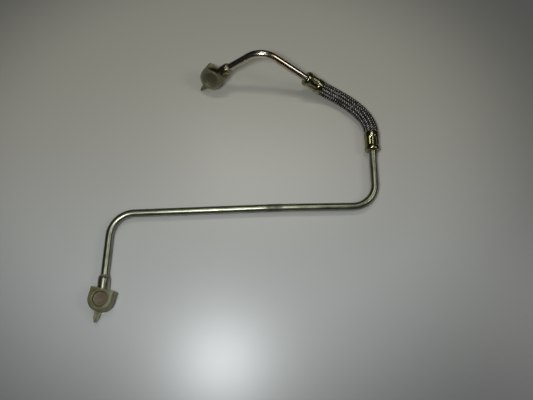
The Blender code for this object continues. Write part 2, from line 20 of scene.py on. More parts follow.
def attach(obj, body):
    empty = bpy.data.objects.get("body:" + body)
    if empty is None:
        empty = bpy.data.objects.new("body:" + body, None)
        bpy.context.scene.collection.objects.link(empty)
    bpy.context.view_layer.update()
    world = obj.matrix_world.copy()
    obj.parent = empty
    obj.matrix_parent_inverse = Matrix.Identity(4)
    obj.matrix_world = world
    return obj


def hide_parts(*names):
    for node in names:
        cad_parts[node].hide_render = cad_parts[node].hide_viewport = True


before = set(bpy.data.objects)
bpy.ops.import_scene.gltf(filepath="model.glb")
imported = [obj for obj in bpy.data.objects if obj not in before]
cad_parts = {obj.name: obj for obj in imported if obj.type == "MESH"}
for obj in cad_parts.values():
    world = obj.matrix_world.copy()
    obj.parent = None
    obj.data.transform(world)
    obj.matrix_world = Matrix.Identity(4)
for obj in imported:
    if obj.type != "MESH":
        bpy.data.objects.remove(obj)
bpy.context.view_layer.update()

log = logging.getLogger("fuel_return_pipe")

MM = 0.001
BODY = "root"
UP = Vector((0, 0, 1))
FIT_GAP = 0.3 * MM
MERGE_DISTANCE = 0.002 * MM
SOCKET_START = 14.6 * MM
NECK_REACH = 21.6 * MM
FERRULE_LENGTH = 21.2 * MM
LOWER_EYE_PLACE = Vector((-137.112, -117.649, 8.300)) * MM
HOSE_SPAN = Vector((-54.7, 52.6, 6.4)) * MM

Colour = tuple[float, float, float]
Place = tuple[float, float, float]
Point = tuple[float, float]
Profile = Sequence[Point]
Socket = bpy.types.NodeSocket
Feed = Union[float, tuple[float, ...], bpy.types.NodeSocket]


class Lay(Enum):
    """The way a strand winds round the hose."""

    RIGHT_HAND = 1
    LEFT_HAND = -1


class Joining(Enum):
    """How a tool changes the piece that it is used on."""

    ADD = "UNION"
    CUT = "DIFFERENCE"


# ---------------------------------------------------------------- the bench


def deselect_all() -> None:
    """Leave nothing selected and no object in edit mode."""
    if bpy.context.mode != "OBJECT":
        bpy.ops.object.mode_set(mode="OBJECT")
    bpy.ops.object.select_all(action="DESELECT")


def take_up(piece: bpy.types.Object) -> None:
    """Select one piece and make it the active one.

    Args:
        piece: The piece to work on.
    """
    deselect_all()
    piece.select_set(True)
    bpy.context.view_layer.objects.active = piece


def open_up(piece: bpy.types.Object) -> None:
    """Open one piece in edit mode with everything in it selected, corners first.

    Args:
        piece: The piece to work on.
    """
    take_up(piece)
    bpy.ops.object.mode_set(mode="EDIT")
    bpy.ops.mesh.select_mode(type="VERT")
    bpy.ops.mesh.select_all(action="SELECT")


def apply_all(piece: bpy.types.Object) -> None:
    """Apply every modifier of a piece in order.

    Args:
        piece: The piece whose modifiers become part of its mesh.
    """
    take_up(piece)
    for modifier in list(piece.modifiers):
        bpy.ops.object.modifier_apply(modifier=modifier.name)


def settle(piece: bpy.types.Object, place: Matrix) -> None:
    """Move a piece to its place and write that place into its mesh.

    Args:
        piece: A piece modelled round the origin.
        place: Where it belongs.
    """
    take_up(piece)
    piece.matrix_world = place @ piece.matrix_world
    bpy.ops.object.transform_apply(location=True, rotation=True, scale=True)


def face_outwards(piece: bpy.types.Object) -> None:
    """Merge doubled corners and turn every face outwards.

    Args:
        piece: The piece to clean.
    """
    open_up(piece)
    bpy.ops.mesh.remove_doubles(threshold=MERGE_DISTANCE)
    bpy.ops.mesh.normals_make_consistent(inside=False)
    bpy.ops.object.mode_set(mode="OBJECT")


def round_edges(piece: bpy.types.Object, width: float, angle: float = 30.0, steps: int = 2) -> None:
    """Break the sharp edges of a piece with a small bevel.

    Args:
        piece: The piece to finish.
        width: The width of the bevel.
        angle: The least angle between faces, in degrees, that counts as sharp.
        steps: The segments across the bevel.
    """
    bevel = piece.modifiers.new("broken edges", "BEVEL")
    bevel.width = width
    bevel.segments = steps
    bevel.limit_method = "ANGLE"
    bevel.angle_limit = math.radians(angle)
    bevel.use_clamp_overlap = True
    apply_all(piece)


def thicken_inwards(piece: bpy.types.Object, wall: float) -> None:
    """Give an open shell a wall on its inner side.

    Args:
        piece: The shell.
        wall: Its thickness.
    """
    solid = piece.modifiers.new("wall", "SOLIDIFY")
    solid.thickness = wall
    solid.offset = -1
    solid.use_even_offset = True
    apply_all(piece)


def smooth(piece: bpy.types.Object, angle: float = 35.0) -> None:
    """Shade a piece smoothly up to an angle between its faces.

    Args:
        piece: The piece to shade.
        angle: The angle in degrees.
    """
    take_up(piece)
    bpy.ops.object.shade_smooth_by_angle(angle=math.radians(angle))


def use_tool(piece: bpy.types.Object, tool: bpy.types.Object, joining: Joining) -> None:
    """Cut or add one solid and throw the tool away.

    Args:
        piece: The piece that is changed.
        tool: The solid that changes it.
        joining: Whether the tool is added or cut out.
    """
    change = piece.modifiers.new("tool", "BOOLEAN")
    change.object = tool
    change.operation = joining.value
    change.solver = "EXACT"
    apply_all(piece)
    bpy.data.objects.remove(tool, do_unlink=True)


def turned(name: str, profile: Profile, sides: int, closed: bool = True) -> bpy.types.Object:
    """Turn a profile about Z: a ring is added, then extruded and resized from point to point.

    Args:
        name: The name of the piece.
        profile: Radius and height of each point, going round the solid.
        sides: The faces round the axis.
        closed: Whether the last point joins the first one.

    Returns:
        The turned piece, at the origin.
    """
    deselect_all()
    radius, height = profile[0]
    bpy.ops.mesh.primitive_circle_add(vertices=sides, radius=radius, location=(0, 0, height))
    piece = bpy.context.active_object
    piece.name = piece.data.name = name
    bpy.ops.object.transform_apply(location=True, rotation=True, scale=True)
    open_up(piece)
    steps = list(profile[1:]) + ([profile[0]] if closed else [])
    for next_radius, next_height in steps:
        bpy.ops.mesh.extrude_region_move(
            TRANSFORM_OT_translate={"value": (0, 0, next_height - height)})
        factor = next_radius / radius
        bpy.ops.transform.resize(value=(factor, factor, 1), center_override=(0, 0, next_height))
        radius, height = next_radius, next_height
    bpy.ops.object.mode_set(mode="OBJECT")
    face_outwards(piece)
    return piece


def rod(name: str, radius: float, bottom: float, top: float, sides: int = 48) -> bpy.types.Object:
    """A plain round tool about Z.

    Args:
        name: The name of the tool.
        radius: Its radius.
        bottom: Its lower end.
        top: Its upper end.
        sides: The faces round it.

    Returns:
        The tool.
    """
    deselect_all()
    bpy.ops.mesh.primitive_cylinder_add(vertices=sides, radius=radius, depth=top - bottom,
                                        location=(0, 0, (bottom + top) / 2))
    tool = bpy.context.active_object
    tool.name = name
    bpy.ops.object.transform_apply(location=True, rotation=True, scale=True)
    return tool


def arc(centre: Point, radius: float, start: float, end: float, steps: int) -> list[Point]:
    """Points of a flat arc.

    Args:
        centre: Its centre.
        radius: Its radius.
        start: The first angle, in degrees.
        end: The last angle, in degrees.
        steps: The number of steps between them.

    Returns:
        The points in order.
    """
    angles = [math.radians(start + (end - start) * step / steps) for step in range(steps + 1)]
    return [(centre[0] + radius * math.cos(a), centre[1] + radius * math.sin(a)) for a in angles]


def heading(plan: float, rise: float = 0.0) -> Vector:
    """A unit vector from a heading in plan and a rise above the table.

    Args:
        plan: The heading from +X, in degrees.
        rise: The rise, in degrees.

    Returns:
        The direction.
    """
    a, b = math.radians(plan), math.radians(rise)
    return Vector((math.cos(b) * math.cos(a), math.cos(b) * math.sin(a), math.sin(b)))


def turned_place(origin: Vector, axis: Vector) -> Matrix:
    """The place of a turned piece from its foot and its axis.

    Args:
        origin: Where its zero height goes.
        axis: The direction of its Z axis.

    Returns:
        The placement.
    """
    return Matrix.Translation(origin) @ axis.to_track_quat("Z", "Y").to_matrix().to_4x4()


def eye_place(origin: Vector, neck: Vector, bore: Vector) -> Matrix:
    """The place of an eye from its centre, its neck (X) and its bore (Z).

    Args:
        origin: The eye's centre.
        neck: The direction of the neck.
        bore: The direction of the bore.

    Returns:
        The placement.
    """
    x = neck.normalized()
    z = (bore - x * bore.dot(x)).normalized()
    return Matrix.Translation(origin) @ Matrix((x, z.cross(x), z)).transposed().to_4x4()


def laid_up(name: str, corners: Sequence[Vector], faces: Sequence[tuple[int, ...]]) -> bpy.types.Object:
    """Make a piece straight from its corners and faces, where no operator gives its shape.

    Args:
        name: The name of the piece.
        corners: Its corners.
        faces: The corners of each face.

    Returns:
        The piece.
    """
    mesh = bpy.data.meshes.new(name)
    mesh.from_pydata(corners, [], faces)
    piece = bpy.data.objects.new(name, mesh)
    bpy.context.scene.collection.objects.link(piece)
    return piece


def ring_faces(first: int, rings: int, sides: int) -> list[tuple[int, ...]]:
    """Four-sided faces between rings of corners that follow one another.

    Args:
        first: The first corner of the first ring.
        rings: The number of rings.
        sides: The corners in a ring.

    Returns:
        The faces, ring by ring.
    """
    faces = []
    for ring in range(rings - 1):
        near, far = first + ring * sides, first + (ring + 1) * sides
        for k in range(sides):
            n = (k + 1) % sides
            faces.append((near + k, near + n, far + n, far + k))
    return faces


# ---------------------------------------------------------------- the route


@dataclass
class Route:
    """Centrelines of the whole assembly, with the same named sizes as the solids.

    Angles are in degrees: a heading in plan from +X and, where there are two, a rise.
    """

    bend_radius: float = 25.0 * MM
    lower_leg: float = 88.0 * MM
    run_left: float = 172.2 * MM
    run_right: float = 103.9 * MM
    riser: float = 61.5 * MM
    ferrule_leg: float = 58.3 * MM
    upper_leg: float = 67.2 * MM
    tail_shortfall: float = 3.0 * MM
    hose_lower_handle: float = 28.3 * MM
    hose_upper_handle: float = 17.4 * MM
    lower_leg_way: float = 88.1
    run_left_way: float = 2.3
    run_right_way: float = 1.0
    riser_way: float = 90.4
    hose_end_way: Point = (160.7, 30.4)
    upper_leg_way: Point = (-168.6, -34.0)
    upper_eye_roll: float = 45.0

    def __post_init__(self) -> None:
        """Work out every corner of the route."""
        self.lower_neck = heading(self.lower_leg_way)
        self.lower_eye = LOWER_EYE_PLACE.copy()
        self.first_bend = self.lower_eye + self.lower_neck * self.lower_leg
        self.kink = self.first_bend + heading(self.run_left_way) * self.run_left
        self.second_bend = self.kink + heading(self.run_right_way) * self.run_right
        self.lower_axis = heading(self.riser_way)
        self.lower_ferrule = self.second_bend + self.lower_axis * self.riser
        self.lower_mouth = self.lower_ferrule + self.lower_axis * FERRULE_LENGTH
        self.upper_mouth = self.lower_mouth + HOSE_SPAN
        self.upper_axis = heading(*self.hose_end_way)
        self.upper_ferrule = self.upper_mouth + self.upper_axis * FERRULE_LENGTH
        self.apex = self.upper_ferrule + self.upper_axis * self.ferrule_leg
        down = heading(*self.upper_leg_way)
        self.upper_eye = self.apex + down * self.upper_leg
        self.upper_neck = -down
        level = (UP - self.upper_neck * self.upper_neck.z).normalized()
        roll = Matrix.Rotation(math.radians(self.upper_eye_roll), 3, self.upper_neck)
        self.upper_bore = roll @ level

    @property
    def long_corners(self) -> list[Vector]:
        """The long pipe's centreline.

        Returns:
            Its corners, from its socket to its tail.
        """
        start = self.lower_eye + self.lower_neck * (SOCKET_START + FIT_GAP)
        tail = FERRULE_LENGTH - self.tail_shortfall
        return [start, self.first_bend, self.kink, self.second_bend,
                self.lower_ferrule + self.lower_axis * tail]

    @property
    def short_corners(self) -> list[Vector]:
        """The short pipe's centreline.

        Returns:
            Its corners, from its socket to its tail.
        """
        start = self.upper_eye + self.upper_neck * (SOCKET_START + FIT_GAP)
        tail = FERRULE_LENGTH - self.tail_shortfall
        return [start, self.apex, self.upper_ferrule - self.upper_axis * tail]

    def hose_point(self, share: float) -> Vector:
        """A point on the hose's free curve.

        Args:
            share: From 0 at the lower mouth to 1 at the upper one.

        Returns:
            The point.
        """
        a = self.lower_mouth
        b = a + self.lower_axis * self.hose_lower_handle
        d = self.upper_mouth
        c = d - self.upper_axis * self.hose_upper_handle
        s, t = 1 - share, share
        return a * s ** 3 + b * (3 * s * s * t) + c * (3 * s * t * t) + d * t ** 3


def follow_map(piece: bpy.types.Object, path: Sequence[Vector], radius: float) -> None:
    """Write a UV map of distance along a path and distance round it.

    Args:
        piece: A tube that follows the path.
        path: The points of its centreline.
        radius: The tube's radius, which scales the distance round it.
    """
    points = np.array([tuple(p) for p in path])
    starts, spans = points[:-1], points[1:] - points[:-1]
    lengths = np.linalg.norm(spans, axis=1)
    units = spans / lengths[:, None]
    before = np.concatenate([[0.0], np.cumsum(lengths)[:-1]])
    off_the_first_leg = (0.31, 0.17, 0.93)
    sides = [np.cross(units[0], off_the_first_leg)]
    for unit in units[1:]:
        side = sides[-1] - unit * (sides[-1] @ unit)
        sides.append(side)
    sides = np.array([side / np.linalg.norm(side) for side in sides])
    ups = np.cross(units, sides)
    mesh = piece.data
    corners = np.empty(len(mesh.vertices) * 3)
    mesh.vertices.foreach_get("co", corners)
    corners = corners.reshape(-1, 3)
    along = np.zeros(len(corners))
    around = np.zeros(len(corners))
    for index, corner in enumerate(corners):
        reach = np.clip(((corner - starts) * units).sum(1), 0, lengths)
        offsets = corner - starts - units * reach[:, None]
        nearest = int((offsets ** 2).sum(1).argmin())
        along[index] = before[nearest] + reach[nearest]
        offset = offsets[nearest]
        around[index] = math.atan2(offset @ ups[nearest], offset @ sides[nearest])
    layer = mesh.uv_layers.new(name="follow") if not mesh.uv_layers else mesh.uv_layers[0]
    for face in mesh.polygons:
        first = around[face.vertices[0]]
        for loop in face.loop_indices:
            vertex = mesh.loops[loop].vertex_index
            turn = around[vertex]
            if turn - first > math.pi:
                turn -= math.tau
            elif first - turn > math.pi:
                turn += math.tau
            layer.data[loop].uv = (along[vertex], turn * radius)


def bent_path(corners: Sequence[Vector], radius: float, steps: int) -> list[Vector]:
    """Points of straight legs joined by arcs, for the follow map.

    Args:
        corners: The corners of the centreline.
        radius: The radius of the bends.
        steps: The steps in each bend.

    Returns:
        The points in order.
    """
    points = [corners[0].copy()]
    for before, corner, after in zip(corners, corners[1:], corners[2:]):
        inward, outward = (corner - before).normalized(), (after - corner).normalized()
        turn = inward.angle(outward)
        axis = inward.cross(outward).normalized()
        start = corner - inward * (radius * math.tan(turn / 2))
        centre = start + axis.cross(inward) * radius
        for step in range(steps + 1):
            points.append(centre + Matrix.Rotation(turn * step / steps, 3, axis) @ (start - centre))
    points.append(corners[-1].copy())
    return points


# ---------------------------------------------------------------- finishes


class NodeSheet:
    """A node tree with short calls to add and join its nodes."""

    def __init__(self, tree: bpy.types.NodeTree) -> None:
        """Start a sheet on a material's or a group's node tree."""
        self.tree = tree

    def add(self, kind: str, inputs: dict[str | int, Feed] | None = None,
            **settings: object) -> bpy.types.Node:
        """Add a node.

        Args:
            kind: Its type.
            inputs: Values or output sockets for its inputs, by name or number.
            **settings: Its own settings.

        Returns:
            The node.
        """
        node = self.tree.nodes.new(kind)
        for key, value in settings.items():
            setattr(node, key, value)
        self.fill(node, inputs or {})
        return node

    def fill(self, node: bpy.types.Node, inputs: dict[str | int, Feed]) -> None:
        """Give several inputs of a node their values.

        Args:
            node: The node.
            inputs: Values or output sockets, by name or number of the input.
        """
        for key, value in inputs.items():
            self.feed(node.inputs[key], value)

    def feed(self, socket: Socket, value: Feed) -> None:
        """Give an input a value or another node's output.

        Args:
            socket: The input.
            value: A number, a colour, a vector or an output socket.
        """
        if isinstance(value, bpy.types.NodeSocket):
            self.tree.links.new(value, socket)
        elif isinstance(value, tuple) and len(value) == 3 and socket.type == "RGBA":
            socket.default_value = (*value, 1.0)
        else:
            socket.default_value = value

    def calc(self, kind: str, first: Feed, second: Feed = 0.0, clamp: bool = False) -> Socket:
        """A Math node.

        Args:
            kind: The operation.
            first: Its first input.
            second: Its second input, where the operation reads one.
            clamp: Whether the result stays between 0 and 1.

        Returns:
            Its output.
        """
        node = self.add("ShaderNodeMath", {0: first, 1: second}, operation=kind, use_clamp=clamp)
        return node.outputs[0]

    def scaled(self, value: Feed, factor: Feed, plus: Feed) -> Socket:
        """A value times a factor, plus a start.

        Args:
            value: The value.
            factor: The factor.
            plus: The start.

        Returns:
            The result.
        """
        node = self.add("ShaderNodeMath", {0: value, 1: factor, 2: plus}, operation="MULTIPLY_ADD")
        return node.outputs[0]

    def mix(self, share: Feed, first: Feed, second: Feed) -> Socket:
        """A colour Mix node.

        Args:
            share: How much of the second colour shows.
            first: The first colour.
            second: The second colour.

        Returns:
            Its output.
        """
        node = self.add("ShaderNodeMix", data_type="RGBA")
        self.fill(node, {0: share, 6: first, 7: second})
        return node.outputs[2]

    def spread(self, value: Feed, low: float, high: float, to_low: float = 0.0,
               to_high: float = 1.0) -> Socket:
        """A Map Range node that clamps and eases at both ends.

        Args:
            value: What is mapped.
            low: The input that gives to_low.
            high: The input that gives to_high.
            to_low: The result at low.
            to_high: The result at high.

        Returns:
            Its output.
        """
        node = self.add("ShaderNodeMapRange", {0: value, 1: low, 2: high, 3: to_low, 4: to_high},
                        interpolation_type="SMOOTHSTEP")
        return node.outputs[0]

    def noise(self, where: Socket, scale: float, detail: float, rough: float = 0.55) -> Socket:
        """The value of a Noise texture.

        Args:
            where: Its coordinates.
            scale: Its scale.
            detail: Its detail.
            rough: Its roughness.

        Returns:
            The value.
        """
        node = self.add("ShaderNodeTexNoise", {"Vector": where, "Scale": scale, "Detail": detail,
                                               "Roughness": rough})
        return node.outputs[0]

    def stretched(self, where: Socket, scale: Place, shift: Place = (0.0, 0.0, 0.0)) -> Socket:
        """Coordinates through a Mapping node.

        Args:
            where: The coordinates.
            scale: The scale along each axis.
            shift: What is added after scaling.

        Returns:
            The mapped coordinates.
        """
        node = self.add("ShaderNodeMapping", {"Vector": where, "Scale": scale, "Location": shift})
        return node.outputs[0]

    def read(self, attribute: str) -> Socket:
        """The value of one of the piece's own attributes."""
        return self.add("ShaderNodeAttribute", attribute_name=attribute).outputs["Fac"]

    def bump(self, shader: bpy.types.Node, height: Socket, strength: float, distance: float) -> None:
        """Raise the surface by a height.

        Args:
            shader: The shader whose normal it changes.
            height: The height.
            strength: How strongly it shows.
            distance: How deep a height of 1 is.
        """
        node = self.add("ShaderNodeBump", {"Height": height, "Strength": strength,
                                           "Distance": distance})
        self.feed(shader.inputs["Normal"], node.outputs[0])


class SharedEffects:
    """Shader groups that more than one finish uses."""

    speck_threshold: float = 0.62
    speck_growth: float = 2.6

    def __init__(self) -> None:
        """Build every group once."""
        self.mottle = self._mottle()
        self.scratches = self._scratches()
        self.specks = self._specks()

    @staticmethod
    def _group(name: str, values: dict[str, float], outputs: Iterable[str]
               ) -> tuple[bpy.types.NodeTree, NodeSheet, bpy.types.Node, bpy.types.Node]:
        """Start a group with an input for its coordinates and named sockets.

        Args:
            name: The group's name.
            values: The name and the first value of each further input.
            outputs: The names of its value outputs.

        Returns:
            The group, its sheet, its input node and its output node.
        """
        group = bpy.data.node_groups.new(name, "ShaderNodeTree")
        group.interface.new_socket(name="Where", in_out="INPUT", socket_type="NodeSocketVector")
        for label, value in values.items():
            socket = group.interface.new_socket(name=label, in_out="INPUT",
                                                socket_type="NodeSocketFloat")
            socket.default_value = value
        for label in outputs:
            group.interface.new_socket(name=label, in_out="OUTPUT", socket_type="NodeSocketFloat")
        start, end = group.nodes.new("NodeGroupInput"), group.nodes.new("NodeGroupOutput")
        return group, NodeSheet(group), start, end

    def _mottle(self) -> bpy.types.NodeTree:
        """Soft cloudy patches.

        Returns:
            The group, whose mask goes from 0 to 1.
        """
        values = {"Scale": 60.0, "Low": 0.4, "High": 0.65}
        group, sheet, start, end = self._group("mottle", values, ["Mask"])
        cloud = sheet.add("ShaderNodeTexNoise", {"Vector": start.outputs["Where"],
                                                 "Scale": start.outputs["Scale"], "Detail": 5.0})
        mask = sheet.add("ShaderNodeMapRange", {0: cloud.outputs[0], 1: start.outputs["Low"],
                                                2: start.outputs["High"]},
                         interpolation_type="SMOOTHSTEP")
        sheet.feed(end.inputs["Mask"], mask.outputs[0])
        return group

    def _scratches(self) -> bpy.types.NodeTree:
        """Fine lines drawn along the first coordinate.

        Returns:
            The group, with a mask and a height.
        """
        values = {"Fineness": 1500.0, "Length": 40.0}
        group, sheet, start, end = self._group("scratches", values, ["Mask", "Height"])
        parts = sheet.add("ShaderNodeSeparateXYZ", {0: start.outputs["Where"]})
        joined = sheet.add("ShaderNodeCombineXYZ")
        for axis, factor in enumerate(("Length", "Fineness", "Fineness")):
            sheet.feed(joined.inputs[axis],
                       sheet.calc("MULTIPLY", parts.outputs[axis], start.outputs[factor]))
        lines = sheet.noise(joined.outputs[0], 1.0, 3.0, 0.6)
        sheet.fill(end, {"Mask": sheet.spread(lines, 0.58, 0.72), "Height": lines})
        return group

    def _specks(self) -> bpy.types.NodeTree:
        """Small scattered dots.

        Returns:
            The group, whose mask goes from 0 to 1.
        """
        group, sheet, start, end = self._group("specks", {"Scale": 400.0, "Size": 0.18}, ["Mask"])
        cells = sheet.add("ShaderNodeTexVoronoi", {"Vector": start.outputs["Where"],
                                                   "Scale": start.outputs["Scale"]})
        chance = sheet.add("ShaderNodeSeparateColor", {0: cells.outputs["Color"]}).outputs[0]
        over = sheet.calc("SUBTRACT", chance, self.speck_threshold, clamp=True)
        size = sheet.calc("MULTIPLY", over, start.outputs["Size"])
        size = sheet.calc("MULTIPLY", size, self.speck_growth)
        dot = sheet.add("ShaderNodeMapRange", {0: cells.outputs["Distance"], 1: size, 2: 0.0,
                                               3: 0.0, 4: 1.0})
        present = sheet.spread(chance, self.speck_threshold, self.speck_threshold + 0.02)
        mask = sheet.calc("MULTIPLY", dot.outputs[0], present, clamp=True)
        sheet.feed(end.inputs["Mask"], mask)
        return group


def blank_material(name: str) -> tuple[bpy.types.Material, NodeSheet, bpy.types.Node, bpy.types.Node]:
    """A material with only its Principled shader and coordinates.

    Args:
        name: The material's name.

    Returns:
        The material, its sheet, its shader and its Texture Coordinate node.
    """
    material = bpy.data.materials.new(name)
    material.use_nodes = True
    sheet = NodeSheet(material.node_tree)
    shader = material.node_tree.nodes["Principled BSDF"]
    return material, sheet, shader, sheet.add("ShaderNodeTexCoord")


def placed(sheet: NodeSheet, group: bpy.types.NodeTree, **inputs: Feed) -> bpy.types.Node:
    """Place a shared group in a material.

    Args:
        sheet: The material's sheet.
        group: The group.
        **inputs: Its inputs by name.

    Returns:
        The group's node.
    """
    node = sheet.add("ShaderNodeGroup", node_tree=group)
    sheet.fill(node, inputs)
    return node


def mask_of(sheet: NodeSheet, group: bpy.types.NodeTree, **inputs: Feed) -> Socket:
    """Place a shared group and take its mask.

    Args:
        sheet: The material's sheet.
        group: The group.
        **inputs: Its inputs by name.

    Returns:
        The mask, from 0 to 1.
    """
    return placed(sheet, group, **inputs).outputs["Mask"]


@dataclass(frozen=True)
class PlatedSteel:
    """Zinc-plated and passivated steel, with clouded colour, draw lines, pits and smudges."""

    name: str
    plate: Colour
    tint: Colour
    dark: Colour
    roughness: float
    smudge: float = 0.09
    tint_low: float = 0.42
    tint_high: float = 0.66
    grain_share: float = 0.16
    pit_share: float = 0.75
    line_roughness: float = 0.10
    line_depth: float = 0.12
    grain_depth: float = 0.05
    follows_path: bool = True
    # A darker, duller mottled patch on one stretch of the run, near its kink.
    scuff: Colour = (0.06, 0.057, 0.040)
    scuff_centre: float | None = None
    scuff_half: float = 11.0 * MM
    scuff_share: float = 0.45
    scuff_roughness: float = 0.16
    scuff_metal_loss: float = 0.3

    def material(self, effects: SharedEffects) -> bpy.types.Material:
        """Make the material.

        Args:
            effects: The shared groups.

        Returns:
            The material.
        """
        material, sheet, shader, where = blank_material(self.name)
        at = where.outputs["Object"]
        along = where.outputs["UV"] if self.follows_path else at
        clouds = mask_of(sheet, effects.mottle, Where=at, Scale=75.0, Low=self.tint_low,
                         High=self.tint_high)
        grain = mask_of(sheet, effects.mottle, Where=at, Scale=900.0, Low=0.35, High=0.75)
        pits = mask_of(sheet, effects.specks, Where=at, Scale=330.0, Size=0.30)
        smudges = mask_of(sheet, effects.mottle, Where=at, Scale=140.0, Low=0.35, High=0.7)
        lines = placed(sheet, effects.scratches, Where=along, Fineness=5200.0, Length=45.0)
        colour = sheet.mix(clouds, self.plate, self.tint)
        colour = sheet.mix(sheet.calc("MULTIPLY", grain, self.grain_share), colour, self.dark)
        colour = sheet.mix(sheet.calc("MULTIPLY", pits, self.pit_share), colour, self.dark)
        smudged = sheet.scaled(smudges, self.smudge, self.roughness)
        roughness = sheet.scaled(lines.outputs["Mask"], self.line_roughness, smudged)
        metal: Feed = 1.0
        if self.scuff_centre is not None:
            colour, roughness, metal = self._scuffed(sheet, effects, at, colour, roughness)
        sheet.fill(shader, {"Base Color": colour, "Roughness": roughness, "Metallic": metal})
        grained = sheet.calc("MULTIPLY", grain, self.grain_depth)
        height = sheet.scaled(lines.outputs["Height"], self.line_depth, grained)
        sheet.bump(shader, height, 0.25, 0.02 * MM)
        return material

    def _scuffed(self, sheet: NodeSheet, effects: SharedEffects, at: Socket, colour: Socket,
                 roughness: Socket) -> tuple[Socket, Socket, Socket]:
        """Darken and dull one stretch of the run with a broken, mottled patch.

        Args:
            sheet: The material's sheet.
            effects: The shared groups.
            at: Object coordinates.
            colour: The colour so far.
            roughness: The roughness so far.

        Returns:
            The new colour, roughness and metallic.
        """
        across = sheet.add("ShaderNodeSeparateXYZ", {0: at}).outputs[0]
        away = sheet.calc("ABSOLUTE", sheet.calc("SUBTRACT", across, self.scuff_centre))
        near = sheet.spread(away, self.scuff_half * 0.5, self.scuff_half, 1.0, 0.0)
        blot = mask_of(sheet, effects.mottle, Where=sheet.stretched(at, (0.45, 1.0, 1.0)),
                       Scale=520.0, Low=0.30, High=0.62)
        # How dark the patch gets, mottled by the blot.
        stain = sheet.scaled(blot, self.scuff_share, self.scuff_share)
        mask = sheet.calc("MULTIPLY", near, stain, clamp=True)
        dulled = sheet.calc("MULTIPLY", near, self.scuff_roughness)
        rough = sheet.calc("ADD", roughness, dulled, clamp=True)
        lost = sheet.calc("MULTIPLY", mask, self.scuff_metal_loss)
        metal = sheet.calc("SUBTRACT", 1.0, lost, clamp=True)
        return sheet.mix(mask, colour, self.scuff), rough, metal


@dataclass(frozen=True)
class BrazeMetal:
    """A dull golden fillet with burnt flux on it."""

    name: str
    fresh: Colour
    burnt: Colour
    roughness: float = 0.34
    burnt_roughness: float = 0.3
    burnt_metal_loss: float = 0.5

    def material(self, effects: SharedEffects) -> bpy.types.Material:
        """Make the material.

        Args:
            effects: The shared groups.

        Returns:
            The material.
        """
        material, sheet, shader, where = blank_material(self.name)
        at = where.outputs["Object"]
        burn = mask_of(sheet, effects.mottle, Where=at, Scale=520.0, Low=0.40, High=0.62)
        sheet.fill(shader, {"Base Color": sheet.mix(burn, self.fresh, self.burnt),
                            "Roughness": sheet.scaled(burn, self.burnt_roughness, self.roughness),
                            "Metallic": sheet.scaled(burn, -self.burnt_metal_loss, 1.0)})
        sheet.bump(shader, sheet.noise(at, 900.0, 3.0), 0.6, 0.12 * MM)
        return material


@dataclass(frozen=True)
class BlackRubber:
    """Matt rubber with a faint grain and dust."""

    name: str
    base: Colour = (0.018, 0.018, 0.02)
    dust: Colour = (0.09, 0.088, 0.085)
    roughness: float = 0.62
    dust_roughness: float = 0.15

    def material(self, effects: SharedEffects) -> bpy.types.Material:
        """Make the material.

        Args:
            effects: The shared groups.

        Returns:
            The material.
        """
        material, sheet, shader, where = blank_material(self.name)
        at = where.outputs["Object"]
        dust = mask_of(sheet, effects.mottle, Where=at, Scale=300.0, Low=0.45, High=0.75)
        sheet.fill(shader, {"Base Color": sheet.mix(dust, self.base, self.dust),
                            "Roughness": sheet.scaled(dust, self.dust_roughness, self.roughness)})
        sheet.bump(shader, sheet.noise(at, 2600.0, 2.0), 0.4, 0.05 * MM)
        return material


@dataclass(frozen=True)
class WovenYarn:
    """Dark glossy yarn: plies across each strand, twist along it, painted highlights as pale specks on
    the crests, painted shade between plies.
    """

    name: str
    base: Colour
    light: Colour
    # Painted highlight colour on the strands' crests.
    fleck: Colour
    # Painted shade between plies.
    groove: Colour = (0.004, 0.004, 0.005)
    plies: float = 3.0
    twists: float = 9000.0
    twist_slant: float = 12.0
    twist_height: float = 0.18
    roughness: float = 0.55
    fuzz_roughness: float = 0.2
    gloss: float = 0.06

    def material(self, effects: SharedEffects) -> bpy.types.Material:
        """Make the material.

        Args:
            effects: The shared groups.

        Returns:
            The material.
        """
        material, sheet, shader, where = blank_material(self.name)
        parts = sheet.add("ShaderNodeSeparateXYZ", {0: where.outputs["UV"]})
        along, across = parts.outputs[0], parts.outputs[1]
        tone, top_height = sheet.read("strand_tone"), sheet.read("strand_top")
        fuzz = mask_of(sheet, effects.mottle, Where=where.outputs["Object"], Scale=420.0,
                       Low=0.28, High=0.60)
        # Painted highlight: pale specks on the riding crests of the lighter strands, broken up by the
        # fuzz mask.
        crest = sheet.calc("MULTIPLY", sheet.spread(top_height, 0.77, 0.92),
                          sheet.spread(tone, 0.35, 0.7, 0.10, 1.0))
        pale = sheet.calc("MULTIPLY", crest, fuzz, clamp=True)
        colour = sheet.mix(pale, sheet.mix(tone, self.base, self.light), self.fleck)
        wave = sheet.calc("SINE", sheet.calc("MULTIPLY", across, self.plies * math.pi))
        ply = sheet.calc("ABSOLUTE", wave)
        # Painted shade in the grooves between plies.
        colour = sheet.mix(sheet.spread(ply, 0.0, 0.45), self.groove, colour)
        slant = sheet.scaled(along, self.twists, sheet.calc("MULTIPLY", across, self.twist_slant))
        twist = sheet.calc("MULTIPLY", sheet.calc("SINE", slant), self.twist_height)
        height = sheet.calc("ADD", sheet.calc("POWER", ply, 0.5), twist)
        sheet.bump(shader, height, 0.7, 0.10 * MM)
        sheet.fill(shader, {"Base Color": colour,
                            "Roughness": sheet.scaled(fuzz, self.fuzz_roughness, self.roughness),
                            "Specular IOR Level": self.gloss})
        return material


